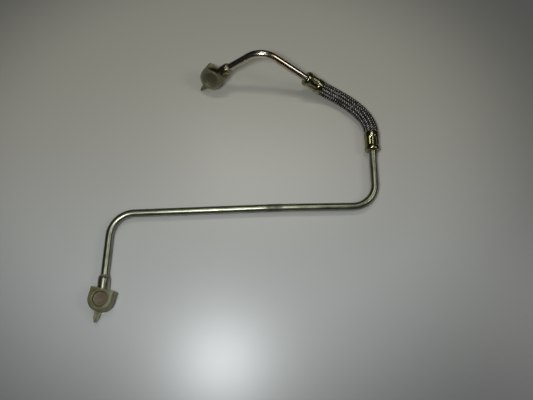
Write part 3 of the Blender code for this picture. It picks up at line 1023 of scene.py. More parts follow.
@dataclass(frozen=True)
class SmokyPlastic:
    """Soft, see-through protective plastic, clouded, with a brown film in its dimples and painted shade
    on their walls.
    """

    name: str
    base: Colour
    cloud: Colour
    stain: Colour
    roughness: float
    clearness: float
    dirt: Colour = (0.05, 0.045, 0.03)
    dirt_share: float = 0.6
    # Painted shade on the dimple walls.
    rim: Colour = (0.10, 0.092, 0.05)
    rim_share: float = 0.5
    rub_roughness: float = 0.12
    ior: float = 1.45
    gloss: float = 0.32

    def material(self, effects: SharedEffects) -> bpy.types.Material:
        """Make the material.

        Args:
            effects: The shared groups.

        Returns:
            The material.
        """
        material, sheet, shader, where = blank_material(self.name)
        at = where.outputs["Object"]
        cloud = mask_of(sheet, effects.mottle, Where=at, Scale=110.0, Low=0.35, High=0.7)
        dirt = mask_of(sheet, effects.specks, Where=at, Scale=380.0, Size=0.25)
        residue = mask_of(sheet, effects.mottle, Where=at, Scale=190.0, Low=0.25, High=0.55)
        rub = mask_of(sheet, effects.mottle, Where=at, Scale=260.0, Low=0.4, High=0.7)
        film = sheet.calc("MULTIPLY", sheet.read("well"), residue)
        # Painted shade: the dimple walls darken towards the rim colour.
        rim = sheet.calc("MULTIPLY", sheet.read("well_wall_shade"), self.rim_share)
        colour = sheet.mix(cloud, self.base, self.cloud)
        colour = sheet.mix(sheet.calc("MULTIPLY", dirt, self.dirt_share), colour, self.dirt)
        colour = sheet.mix(rim, sheet.mix(film, colour, self.stain), self.rim)
        sheet.fill(shader, {"Base Color": colour,
                            "Roughness": sheet.scaled(rub, self.rub_roughness, self.roughness),
                            "Transmission Weight": self.clearness, "IOR": self.ior,
                            "Specular IOR Level": self.gloss})
        sheet.bump(shader, sheet.noise(at, 420.0, 2.0), 0.25, 0.08 * MM)
        return material


@dataclass(frozen=True)
class PaleTable:
    """The plain pale top that the pipe lies on, with painted light falloff: darker away from its lit
    middle.
    """

    name: str
    base: Colour
    # Painted warm light: the top turns to this warmer, slightly darker colour towards the far side.
    warm: Colour
    roughness: float
    gloss: float = 0.48
    cloud_tone: float = 0.97
    # Painted light falloff: the top darkens in an oval away from its lit middle.
    edge_tone: float = 0.36
    edge_share: float = 0.88
    edge_start: float = 0.18
    edge_end: float = 0.355
    oval: Place = (0.84, 1.0, 1.0)
    oval_shift: Place = (0.018, -0.046, 0.0)
    warm_reach: float = 0.16

    def material(self, effects: SharedEffects) -> bpy.types.Material:
        """Make the material.

        Args:
            effects: The shared groups.

        Returns:
            The material.
        """
        material, sheet, shader, where = blank_material(self.name)
        at = where.outputs["Object"]
        cloud = mask_of(sheet, effects.mottle, Where=at, Scale=9.0, Low=0.3, High=0.7)
        clouded, falloff_colour = (tuple(channel * tone for channel in self.base)
                          for tone in (self.cloud_tone, self.edge_tone))
        colour = sheet.mix(cloud, self.base, clouded)
        far = sheet.add("ShaderNodeSeparateXYZ", {0: at}).outputs[1]
        # Painted warm light towards the far side.
        colour = sheet.mix(sheet.spread(far, -self.warm_reach, self.warm_reach), colour, self.warm)
        # Painted light falloff: darker away from the lit middle.
        oval = sheet.stretched(at, self.oval, self.oval_shift)
        away = sheet.add("ShaderNodeVectorMath", {0: oval}, operation="LENGTH").outputs["Value"]
        edge = sheet.spread(away, self.edge_start, self.edge_end, 0.0, self.edge_share)
        sheet.fill(shader, {"Base Color": sheet.mix(edge, colour, falloff_colour),
                            "Roughness": self.roughness, "Specular IOR Level": self.gloss})
        return material


# ---------------------------------------------------------------- the pieces


def hand_over(piece: bpy.types.Object, material: bpy.types.Material, node: str) -> None:
    """Dress a finished piece and let it stand for its solid.

    Args:
        piece: The finished piece.
        material: Its finish.
        node: The solid that it stands for.
    """
    piece.data.materials.clear()
    piece.data.materials.append(material)
    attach(piece, BODY)
    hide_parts(node)
    log.info("%s stands for %s with %d faces", piece.name, node, len(piece.data.polygons))


@dataclass
class Part:
    """A piece of the pipe: its name, the solid that it stands for and that solid's slot."""

    name: str
    node: str
    slot: str


@dataclass
class BentPipe(Part):
    """A drawn steel pipe, bent to its route, with two rolled beads near its tail."""

    corners: list[Vector]
    bend_radius: float
    radius: float = 4.0 * MM
    wall: float = 1.0 * MM
    sides: int = 48
    bend_step: float = 3.0
    bead_height: float = 0.3 * MM
    bead_length: float = 2.0 * MM
    bead_top: float = 0.8 * MM
    bead_spacing: float = 5.0 * MM
    map_steps: int = 12

    def build(self) -> bpy.types.Object:
        """Extrude a ring along each leg and spin it round each bend.

        Returns:
            The pipe.
        """
        deselect_all()
        first = (self.corners[1] - self.corners[0]).normalized()
        turn = first.to_track_quat("Z", "Y").to_euler()
        bpy.ops.mesh.primitive_circle_add(vertices=self.sides, radius=self.radius,
                                          location=self.corners[0], rotation=turn)
        pipe = bpy.context.active_object
        pipe.name = pipe.data.name = self.name
        bpy.ops.object.transform_apply(location=True, rotation=True, scale=True)
        open_up(pipe)
        here = self.corners[0]
        for before, corner, after in zip(self.corners, self.corners[1:], self.corners[2:]):
            here = self._leg_and_bend(here, before, corner, after)
        self._tail(here)
        bpy.ops.object.mode_set(mode="OBJECT")
        face_outwards(pipe)
        thicken_inwards(pipe, self.wall)
        smooth(pipe)
        path = bent_path(self.corners, self.bend_radius, self.map_steps)
        follow_map(pipe, path, self.radius)
        return pipe

    def _leg_and_bend(self, here: Vector, before: Vector, corner: Vector, after: Vector) -> Vector:
        """Go straight to a bend and round it.

        Args:
            here: Where the open end is.
            before: The corner before this one.
            corner: The corner that is rounded.
            after: The corner after this one.

        Returns:
            Where the open end is now.
        """
        inward, outward = (corner - before).normalized(), (after - corner).normalized()
        turn = inward.angle(outward)
        axis = inward.cross(outward).normalized()
        setback = self.bend_radius * math.tan(turn / 2)
        start = corner - inward * setback
        self._straight(start - here)
        centre = start + axis.cross(inward) * self.bend_radius
        steps = max(2, round(math.degrees(turn) / self.bend_step))
        bpy.ops.mesh.spin(steps=steps, angle=-turn, center=centre, axis=axis)
        return corner + outward * setback

    @staticmethod
    def _straight(step: Vector) -> None:
        """Extrude the open end along one step.

        Args:
            step: How far and which way.
        """
        bpy.ops.mesh.extrude_region_move(TRANSFORM_OT_translate={"value": step})

    def _tail(self, here: Vector) -> None:
        """Run to the pipe's end over two beads.

        Args:
            here: Where the open end is.
        """
        end = self.corners[-1]
        way = (end - self.corners[-2]).normalized()
        foot, top = self.bead_length / 2, self.bead_top / 2
        raised = 1 + self.bead_height / self.radius
        for middle in (1.5 * self.bead_spacing, 0.5 * self.bead_spacing):
            for offset, factor in ((foot, 1.0), (top, raised), (-top, 1.0), (-foot, 1 / raised)):
                place = end - way * (middle + offset)
                self._straight(place - here)
                bpy.ops.transform.resize(value=(factor,) * 3, center_override=place)
                here = place
        self._straight(end - here)


@dataclass
class BanjoEye(Part):
    """A forged eye with a crowned rim and a drilled neck."""

    place: Matrix
    bore: float = 16.4 * MM
    rim: float = 22.4 * MM
    face: float = 20.0 * MM
    thickness: float = 13.5 * MM
    chamfer: float = 0.6 * MM
    neck: float = 12.0 * MM
    neck_shoulder: float = 1.4 * MM
    socket: float = 8.6 * MM
    passage: float = 5.0 * MM
    overrun: float = 1.0 * MM
    broken_edge: float = 0.18 * MM
    near_axis: float = 0.01 * MM
    sides: int = 96
    neck_sides: int = 64

    def build(self) -> bpy.types.Object:
        """Turn the ring, add the neck and drill it.

        Returns:
            The eye.
        """
        eye = turned(self.name, self._ring(), self.sides)
        along = Matrix.Rotation(math.pi / 2, 4, "Y")
        neck = turned(self.name + "_neck", self._stem(), self.neck_sides)
        settle(neck, along)
        use_tool(eye, neck, Joining.ADD)
        for radius, low, high in (
                (self.socket / 2, SOCKET_START, NECK_REACH + 2 * self.overrun),
                (self.passage / 2, self.bore / 4, SOCKET_START + self.overrun)):
            drill = rod("drill", radius, low, high)
            settle(drill, along)
            use_tool(eye, drill, Joining.CUT)
        round_edges(eye, self.broken_edge, 40.0)
        settle(eye, self.place)
        smooth(eye, 30.0)
        return eye

    def _ring(self) -> list[Point]:
        """The ring's section, with its crowned rim and chamfered bore.

        Returns:
            Radius and height of each point.
        """
        half, bore = self.thickness / 2, self.bore / 2
        rise = (self.rim - self.face) / 2
        crown = (half ** 2 + rise ** 2) / (2 * rise)
        spread = math.degrees(math.asin(half / crown))
        section = arc((self.rim / 2 - crown, 0.0), crown, spread, -spread, 14)
        return section + [(bore + self.chamfer, -half), (bore, self.chamfer - half),
                          (bore, half - self.chamfer), (bore + self.chamfer, half)]

    def _stem(self) -> list[Point]:
        """The neck's section, rounded at its shoulder, from inside the ring to its end.

        Returns:
            Radius and height of each point.
        """
        radius, shoulder = self.neck / 2, self.neck_shoulder
        root = (self.bore + self.rim) / 4
        rounded = arc((radius - shoulder, NECK_REACH - shoulder), shoulder, 0, 90, 6)
        return [(self.near_axis, NECK_REACH), *reversed(rounded), (radius, root),
                (self.near_axis, root)]


@dataclass
class BrazeFillet(Part):
    """A concave, slightly uneven fillet of braze between neck and pipe."""

    place: Matrix
    bore: float = 4.3 * MM
    foot: float = 1.4 * MM
    length: float = 2.6 * MM
    tip: float = 0.25 * MM
    toe: float = 0.25 * MM
    hollowness: float = 1.8
    unevenness: float = 0.22 * MM
    ripple_size: float = 2.2 * MM
    sides: int = 72

    def build(self) -> bpy.types.Object:
        """Turn the fillet and let it ripple.

        Returns:
            The fillet.
        """
        low, high = FIT_GAP, FIT_GAP + self.length
        hollow = [(self.bore + self.foot * (1 - s) ** self.hollowness + self.tip * s,
                   low + self.toe + (self.length - self.toe) * s)
                  for s in (0.0, 0.2, 0.4, 0.6, 0.8, 1.0)]
        profile = [(self.bore, high), (self.bore, low), (self.bore + self.foot, low), *hollow]
        fillet = turned(self.name, profile, self.sides)
        texture = bpy.data.textures.new(self.name, "CLOUDS")
        texture.noise_scale = self.ripple_size
        ripple = fillet.modifiers.new("ripple", "DISPLACE")
        ripple.texture = texture
        ripple.strength = self.unevenness
        ripple.mid_level = 0.62
        keep = fillet.vertex_groups.new(name="outside")
        outside = [v.index for v in fillet.data.vertices
                   if Vector(v.co[:2]).length > self.bore + 0.2 * MM and v.co.z > low + 0.1 * MM]
        keep.add(outside, 1.0, "REPLACE")
        ripple.vertex_group = keep.name
        apply_all(fillet)
        settle(fillet, self.place)
        smooth(fillet, 50.0)
        return fillet


@dataclass
class CrimpedFerrule(Part):
    """A drawn cup with six pressed troughs between its shoulder and its collar."""

    place: Matrix
    turn: float
    bore: float = 6.8 * MM
    body: float = 7.7 * MM
    collar: float = 8.3 * MM
    end_bore: float = 4.3 * MM
    end_wall: float = 2.4 * MM
    shoulder: float = 2.2 * MM
    mouth_flare: float = 0.6 * MM
    mouth_length: float = 6.2 * MM
    lip: float = 0.45 * MM
    crimp_length: float = 9.6 * MM
    swell: float = 0.12 * MM
    bore_break: Point = (0.4 * MM, 0.35 * MM)
    troughs: int = 6
    trough_depth: float = 0.55 * MM
    trough_half_angle: float = 17.0
    trough_ramp: float = 0.7 * MM
    crimp_rings: int = 18
    sides: int = 180

    def build(self) -> bpy.types.Object:
        """Turn the cup with rings to spare and press the troughs into it.

        Returns:
            The ferrule.
        """
        top = FERRULE_LENGTH - self.mouth_length
        bottom = top - self.crimp_length
        cup = turned(self.name, self._outside(bottom, top) + self._inside(top), self.sides)
        self._press(cup, bottom, top)
        settle(cup, self.place)
        smooth(cup, 30.0)
        return cup

    def _outside(self, bottom: float, top: float) -> list[Point]:
        """The outer line, from the mouth over collar, crimp and shoulder to the closed end.

        Args:
            bottom: Where the jaws' marks start.
            top: Where they end.

        Returns:
            Radius and height of each point.
        """
        collar, body, lip, step = self.collar, self.body, self.lip, 0.1 * MM
        line = arc((self.bore + self.mouth_flare + lip, FERRULE_LENGTH - lip), lip, 180, 90, 4)
        line += arc((collar - lip, FERRULE_LENGTH - lip), lip, 80, 0, 4)
        line += [(collar - self.swell, FERRULE_LENGTH - 0.4 * self.mouth_length),
                 (collar, top + 1.5 * MM), (collar - 0.04 * MM, top + 1.1 * MM),
                 (collar - 0.2 * MM, top + 0.75 * MM), (body + 0.1 * MM, top + 0.35 * MM)]
        span = self.crimp_length + 2 * step
        line += [(body, top + step - span * ring / self.crimp_rings)
                 for ring in range(self.crimp_rings + 1)]
        line += [(body + 0.25 * MM, bottom - 0.45 * MM), (collar - 0.1 * MM, bottom - 0.9 * MM),
                 (collar, bottom - 1.4 * MM)]
        return line + arc((collar - self.shoulder, self.shoulder), self.shoulder, 0, -90, 8)

    def _inside(self, top: float) -> list[Point]:
        """The inner line, from the closed end's hole to the top of the crimp.

        Args:
            top: Where the jaws' marks end.

        Returns:
            Radius and height of each point.
        """
        across, up = self.bore_break
        return [(self.end_bore + across, 0.0), (self.end_bore, up), (self.end_bore, self.end_wall),
                (self.bore, self.end_wall), (self.bore, top)]

    def _press(self, cup: bpy.types.Object, bottom: float, top: float) -> None:
        """Move the cup's wall to the shape that the jaws leave.

        Args:
            cup: The cup, still upright at the origin.
            bottom: Where the jaws' marks start.
            top: Where they end.
        """
        pitch, half_angle = math.tau / self.troughs, math.radians(self.trough_half_angle)
        for vertex in cup.data.vertices:
            x, y, z = vertex.co
            radius = math.hypot(x, y)
            if radius < (self.bore + self.body) / 2 or not bottom < z < top:
                continue
            depth = min(1.0, (z - bottom) / self.trough_ramp, (top - z) / self.trough_ramp)
            depth = depth * depth * (3 - 2 * depth)
            angle = math.atan2(y, x) - math.radians(self.turn)
            away = (angle + pitch / 2) % pitch - pitch / 2
            share = min(1.0, abs(away) / half_angle)
            target = self.body - self.trough_depth * depth * (0.5 + 0.5 * math.cos(math.pi * share))
            vertex.co.x *= target / radius
            vertex.co.y *= target / radius


@dataclass
class ProtectiveCap(Part):
    """A soft moulded pouch over an eye, dimpled into the bore, with a pull tab."""

    place: Matrix
    mouth_slant: float
    radius: float = 12.5 * MM
    half: float = 8.05 * MM
    wall: float = 1.0 * MM
    rounding: float = 2.6 * MM
    mouth_reach: float = 10.0 * MM
    dimple_depth: float = 3.2 * MM
    dimple_radius: float = 7.0 * MM
    dimple_foot: float = 0.6 * MM
    dimple_lip: float = 1.3 * MM
    residue_radius: float = 5.4 * MM
    residue_edge: float = 0.4 * MM
    face_radius: float = 9.0 * MM
    face_step: float = 0.25 * MM
    parting_step: float = 0.05 * MM
    stretch: float = 2.2
    tab_width: float = 6.4 * MM
    tab_waist: float = 4.9 * MM
    tab_tip: float = 1.3 * MM
    tab_length: float = 10.6 * MM
    tab_thickness: float = 2.4 * MM
    tab_point: float = 4.0 * MM
    tab_root: float = 0.6 * MM
    tab_rib: float = 1.3 * MM
    tab_slope: float = 0.5 * MM
    tab_web_depth: float = 0.65 * MM
    tab_rounding: float = 0.35 * MM
    sides: int = 96

    def build(self) -> bpy.types.Object:
        """Turn a pill box with dimples, stretch it to a pouch, open it and thicken it.

        Returns:
            The cap.
        """
        cap = turned(self.name, self._profile(), self.sides, closed=False)
        self._stretch(cap)
        self._open_mouth(cap)
        thicken_inwards(cap, self.wall)
        use_tool(cap, self._tab(), Joining.ADD)
        self._stain(cap)
        settle(cap, self.place)
        smooth(cap, 40.0)
        return cap

    def _stain(self, cap: bpy.types.Object) -> None:
        """Mark the floor of each dimple for its brown film and its wall for painted shade.

        Args:
            cap: The cap, still in its own frame.
        """
        floor = self.half - self.dimple_depth
        wall_reach = self.dimple_radius + 0.9 * MM
        floors, walls = [], []
        for vertex in cap.data.vertices:
            x, y, z = vertex.co
            radius, height = math.hypot(x, y), abs(z)
            inside = radius < wall_reach and height < self.half - 0.3 * MM
            floors.append(float(inside and radius < self.residue_radius + 0.1 * MM))
            walls.append(float(inside and height >= floor + 0.4 * MM))
        for label, values in (("well", floors), ("well_wall_shade", walls)):
            cap.data.attributes.new(label, "FLOAT", "POINT").data.foreach_set("value", values)

    def _profile(self) -> list[Point]:
        """The pill box's section, from the middle of its upper dimple to the lower one's.

        Returns:
            Radius and height of each point.
        """
        floor = self.half - self.dimple_depth
        well, foot, lip = self.dimple_radius, self.dimple_foot, self.dimple_lip
        sunk = self.half - self.face_step
        upper = [(0.02 * MM, floor), (well / 2, floor), (self.residue_radius, floor),
                 (self.residue_radius + self.residue_edge, floor)]
        upper += arc((well - foot, floor + foot), foot, -90, 0, 5)
        upper += arc((well + lip, self.half - lip), lip, 180, 90, 6)
        upper += [(self.face_radius, self.half), (self.face_radius + 0.15 * MM, self.half - 0.03 * MM),
                  (self.face_radius + 0.45 * MM, sunk)]
        upper += arc((self.radius - self.rounding, sunk - self.rounding), self.rounding, 90, 0, 8)
        upper += [(self.radius, 0.35 * MM), (self.radius - self.parting_step, 0.22 * MM)]
        return upper + [(radius, -height) for radius, height in reversed(upper)]

    def _stretch(self, cap: bpy.types.Object) -> None:
        """Draw the half that faces the mouth out along X.

        Args:
            cap: The turned pill box.
        """
        open_up(cap)
        bpy.ops.mesh.select_all(action="DESELECT")
        shell = bmesh.from_edit_mesh(cap.data)
        edge = self.radius - self.rounding - 0.2 * MM
        for vertex in shell.verts:
            vertex.select = vertex.co.x > 0.0 and math.hypot(vertex.co.x, vertex.co.y) > edge
        shell.select_flush_mode()
        bmesh.update_edit_mesh(cap.data)
        bpy.ops.transform.translate(value=(self.stretch * self.radius, 0, 0))
        bpy.ops.object.mode_set(mode="OBJECT")

    def _open_mouth(self, cap: bpy.types.Object) -> None:
        """Cut the pouch off at its mouth.

        Args:
            cap: The stretched shell.
        """
        open_up(cap)
        slant = math.radians(self.mouth_slant)
        normal = (math.cos(slant), math.sin(slant), 0.0)
        bpy.ops.mesh.bisect(plane_co=(self.mouth_reach, 0, 0), plane_no=normal,
                            clear_outer=True, use_fill=False)
        bpy.ops.mesh.select_all(action="SELECT")
        bpy.ops.mesh.normals_make_consistent(inside=False)
        shell = bmesh.from_edit_mesh(cap.data)
        if max(shell.faces, key=lambda face: face.calc_center_median().z).normal.z < 0:
            bpy.ops.mesh.flip_normals()
        bpy.ops.object.mode_set(mode="OBJECT")

    def _tab(self) -> bpy.types.Object:
        """The pull tab: a tongue with a thin web between two ribs.

        Returns:
            The tab, in the cap's own frame.
        """
        deselect_all()
        root = self.radius - self.tab_root
        tip = self.radius + self.tab_length
        neck = tip - self.tab_point
        bpy.ops.mesh.primitive_cube_add(size=1, location=(-(root + neck) / 2, 0, 0),
                                        scale=(neck - root, self.tab_width, self.tab_thickness))
        tab = bpy.context.active_object
        bpy.ops.object.transform_apply(location=True, rotation=True, scale=True)
        open_up(tab)
        self._pick(tab, lambda face: face.normal.x < -0.9)
        waist = self.tab_waist / self.tab_width
        bpy.ops.transform.resize(value=(1, waist, 1), center_override=(-neck, 0, 0))
        bpy.ops.mesh.extrude_region_move(TRANSFORM_OT_translate={"value": (neck - tip, 0, 0)})
        point = (1, self.tab_tip / self.tab_waist, 0.7)
        bpy.ops.transform.resize(value=point, center_override=(-tip, 0, 0))
        self._pick(tab, lambda face: abs(face.normal.z) > 0.9)
        bpy.ops.mesh.inset(thickness=self.tab_rib, use_individual=False)
        bpy.ops.mesh.inset(thickness=self.tab_slope, depth=-self.tab_web_depth, use_individual=False)
        bpy.ops.object.mode_set(mode="OBJECT")
        face_outwards(tab)
        round_edges(tab, self.tab_rounding, 35.0, 3)
        return tab

    @staticmethod
    def _pick(piece: bpy.types.Object, wanted: Callable[[bmesh.types.BMFace], bool]) -> None:
        """Select only the faces that pass a test.

        Args:
            piece: The piece in edit mode.
            wanted: The test.
        """
        bpy.ops.mesh.select_all(action="DESELECT")
        bpy.ops.mesh.select_mode(type="FACE")
        shell = bmesh.from_edit_mesh(piece.data)
        shell.normal_update()
        for face in shell.faces:
            face.select = wanted(face)
        shell.select_flush_mode()
        bmesh.update_edit_mesh(piece.data)


@dataclass
class WovenSkin:
    """The braid's growing mesh and what its finish reads: a UV map, shades and heights."""

    corners: list[Vector] = field(default_factory=list)
    faces: list[tuple[int, ...]] = field(default_factory=list)
    maps: list[Point] = field(default_factory=list)
    tones: list[float] = field(default_factory=list)
    tops: list[float] = field(default_factory=list)

    def piece(self, name: str) -> bpy.types.Object:
        """Make the mesh.

        Args:
            name: The name of the piece.

        Returns:
            The piece.
        """
        piece = laid_up(name, self.corners, self.faces)
        layer = piece.data.uv_layers.new(name="follow")
        layer.data.foreach_set("uv", [value for pair in self.maps for value in pair])
        for label, values in (("strand_tone", self.tones), ("strand_top", self.tops)):
            piece.data.attributes.new(label, "FLOAT", "POINT").data.foreach_set("value", values)
        return piece


@dataclass
class BraidedHose:
    """A rubber hose under a braid of flat strands that pass over one and under one.

    No operator weaves strands, so they are laid up point by point.
    """

    route: Route
    node: str = "hose_braid"
    slot: str = "dark_braid"
    ground_slot: str = "black_rubber"
    carriers: int = 12
    pitch_step: float = 2.6 * MM
    free_radius: float = 7.05 * MM
    crimped_radius: float = 6.3 * MM
    flare: float = 0.55 * MM
    swell: float = 3.0 * MM
    crimped_depth: float = 6.2 * MM
    bulge: float = 0.10 * MM
    bulge_middle: float = 0.45
    bulge_spread: float = 0.14
    strand_half_width: float = 0.98 * MM
    strand_half_height: float = 0.27 * MM
    width_power: float = 0.7
    height_power: float = 0.8
    wave: float = 0.33 * MM
    wave_power: float = 0.75
    top_gain: float = 1.35
    # Each lay's tone as a start and a random spread: the spread is the strands' own shade, and the
    # right-hand lay starts lighter to carry the painted highlights.
    right_tones: Point = (0.6, 0.4)
    left_tones: Point = (0.25, 0.25)
    shade_seed: int = 7
    fine_steps: int = 400
    steps: int = 430
    section: int = 8
    ground_sunk: float = 0.60 * MM
    ground_wall: float = 0.12 * MM
    ground_sides: int = 48
    ground_step: int = 5

    def __post_init__(self) -> None:
        """Lay out the centreline with its frames."""
        start, end = self.route.lower_mouth, self.route.upper_mouth
        fine = [self.route.hose_point(i / self.fine_steps) for i in range(self.fine_steps + 1)]
        path = [start - self.route.lower_axis * self.crimped_depth] + fine
        path += [end + self.route.upper_axis * self.crimped_depth]
        lengths = [0.0]
        for a, b in zip(path, path[1:]):
            lengths.append(lengths[-1] + (b - a).length)
        self.mouths = (lengths[1], lengths[-2])
        self.stations = [lengths[-1] * i / self.steps for i in range(self.steps + 1)]
        self.centres: list[Vector] = []
        index = 0
        for here in self.stations:
            while index < len(lengths) - 2 and lengths[index + 1] < here:
                index += 1
            share = (here - lengths[index]) / (lengths[index + 1] - lengths[index])
            self.centres.append(path[index].lerp(path[index + 1], share))
        self._frames()

    def _frames(self) -> None:
        """Carry one side vector along the centreline without twist."""
        self.sides: list[Vector] = []
        self.ups: list[Vector] = []
        side = UP.cross(self.route.lower_axis)
        for index in range(len(self.centres)):
            tangent = self._ahead(self.centres, index)
            side = (side - tangent * side.dot(tangent)).normalized()
            self.sides.append(side)
            self.ups.append(tangent.cross(side))

    def _ahead(self, line: Sequence[Vector], index: int) -> Vector:
        """The direction of a line at one station."""
        return (line[min(index + 1, self.steps)] - line[max(index - 1, 0)]).normalized()

    def _radius_at(self, here: float) -> float:
        """The braid's mean radius, with the bulge of its relaxed stretch.

        Args:
            here: The distance along the centreline.

        Returns:
            The radius.
        """
        mouth = self.crimped_radius + self.flare
        depth = max(self.mouths[0] - here, here - self.mouths[1])
        if depth > 0:
            radius = mouth + (self.crimped_radius - mouth) * min(1.0, depth / self.crimped_depth)
        else:
            share = min(1.0, -depth / self.swell)
            radius = mouth + (self.free_radius - mouth) * share * share * (3 - 2 * share)
        share = (here - self.mouths[0]) / (self.mouths[1] - self.mouths[0])
        return radius + self.bulge * math.exp(-((share - self.bulge_middle) / self.bulge_spread) ** 2)

    def _spoke(self, index: int, angle: float) -> Vector:
        """The direction away from the centreline at one station and angle."""
        return self.sides[index] * math.cos(angle) + self.ups[index] * math.sin(angle)

    def _strand(self, number: int, lay: Lay) -> tuple[list[Vector], list[float]]:
        """One strand's middle line and how high it rides.

        Args:
            number: Which carrier lays it.
            lay: Its hand.

        Returns:
            The points and, for each, 1 on top of the weave and 0 under it.
        """
        gap = math.tau / self.carriers
        winding = gap / self.pitch_step
        points, rides = [], []
        for index, here in enumerate(self.stations):
            angle = number * gap + lay.value * winding * here
            swing = lay.value * math.cos(math.tau * here / self.pitch_step)
            ride = math.copysign(abs(swing) ** self.wave_power, swing)
            radius = self._radius_at(here) + self.wave * ride
            points.append(self.centres[index] + self._spoke(index, angle) * radius)
            rides.append(0.5 + 0.5 * ride)
        return points, rides

    def build(self) -> bpy.types.Object:
        """Weave every strand, point by point, into one piece.

        Returns:
            The braid.
        """
        skin = WovenSkin()
        shades = np.random.default_rng(self.shade_seed).random(2 * self.carriers)
        for row, (lay, tones) in enumerate(zip(Lay, (self.right_tones, self.left_tones))):
            for number in range(self.carriers):
                points, rides = self._strand(number, lay)
                shade = float(shades[row * self.carriers + number])
                self._cover(skin, points, rides, tones[0] + tones[1] * shade)
        braid = skin.piece("braid_strands")
        smooth(braid, 60.0)
        return braid

    def _cover(self, skin: WovenSkin, points: list[Vector], rides: list[float], tone: float) -> None:
        """Put a flat rounded skin round one strand.

        Args:
            skin: The braid's mesh so far.
            points: The strand's middle line.
            rides: How high it rides at each point.
            tone: Its own shade.
        """
        first, count, rings = len(skin.corners), self.section, len(points)
        outline = [self._rounded(math.tau * k / count) for k in range(count)]
        lengths = [0.0]
        for index, point in enumerate(points):
            ahead = self._ahead(points, index)
            out = point - self.centres[index]
            out = (out - ahead * out.dot(ahead)).normalized()
            across = ahead.cross(out)
            if index:
                lengths.append(lengths[-1] + (point - points[index - 1]).length)
            for k, (wide, high) in enumerate(outline):
                skin.corners.append(point + across * wide + out * high)
                skin.tones.append(tone)
                crest = max(0.0, math.sin(math.tau * k / count))
                skin.tops.append(min(1.0, self.top_gain * rides[index]) * crest)
        skin.faces += ring_faces(first, rings, count)
        for here, there in zip(lengths, lengths[1:]):
            for k in range(count):
                low, high = self._breadth(k), self._breadth(k + 1)
                skin.maps.extend(((here, low), (here, high), (there, high), (there, low)))
        last = first + (rings - 1) * count
        skin.faces.append(tuple(first + k for k in reversed(range(count))))
        skin.faces.append(tuple(last + k for k in range(count)))
        skin.maps.extend([(0.0, 0.0)] * (2 * count))

    def _rounded(self, angle: float) -> Point:
        """One corner of a strand's flat rounded section.

        Args:
            angle: Its angle round the strand.

        Returns:
            Its place across the strand and out from the hose.
        """
        wide = math.copysign(abs(math.cos(angle)) ** self.width_power, math.cos(angle))
        high = math.copysign(abs(math.sin(angle)) ** self.height_power, math.sin(angle))
        return wide * self.strand_half_width, high * self.strand_half_height

    def _breadth(self, corner: int) -> float:
        """How far across the strand a corner of its section lies, from 0 to 1."""
        return 0.5 + 0.5 * math.cos(math.tau * corner / self.section)

    def ground(self) -> bpy.types.Object:
        """The dark under-layer that shows between strands.

        Returns:
            A tube just under the braid.
        """
        deselect_all()
        stations = [*range(0, self.steps, self.ground_step), self.steps]
        corners = []
        for index in stations:
            radius = self._radius_at(self.stations[index]) - self.ground_sunk
            corners += [self.centres[index]
                        + self._spoke(index, math.tau * k / self.ground_sides) * radius
                        for k in range(self.ground_sides)]
        faces = ring_faces(0, len(stations), self.ground_sides)
        ground = laid_up("braid_ground", corners, faces)
        face_outwards(ground)
        thicken_inwards(ground, self.ground_wall)
        smooth(ground, 60.0)
        return ground


# ---------------------------------------------------------------- the set


@dataclass(frozen=True)
class SoftLight:
    """A round soft light, with its place, size and power in metres and watts."""

    name: str
    place: Place
    target: Place
    size: float
    power: float
    colour: Colour
    mirrored: bool = True

    def hang(self) -> None:
        """Hang the light and turn it to its target."""
        data = bpy.data.lights.new(self.name, "AREA")
        data.shape = "DISK"
        data.size = self.size
        data.energy = self.power
        data.color = self.colour
        light = bpy.data.objects.new(self.name, data)
        bpy.context.scene.collection.objects.link(light)
        light.location = self.place
        way = Vector(self.target) - Vector(self.place)
        light.rotation_euler = way.to_track_quat("-Z", "Y").to_euler()
        light.visible_glossy = self.mirrored


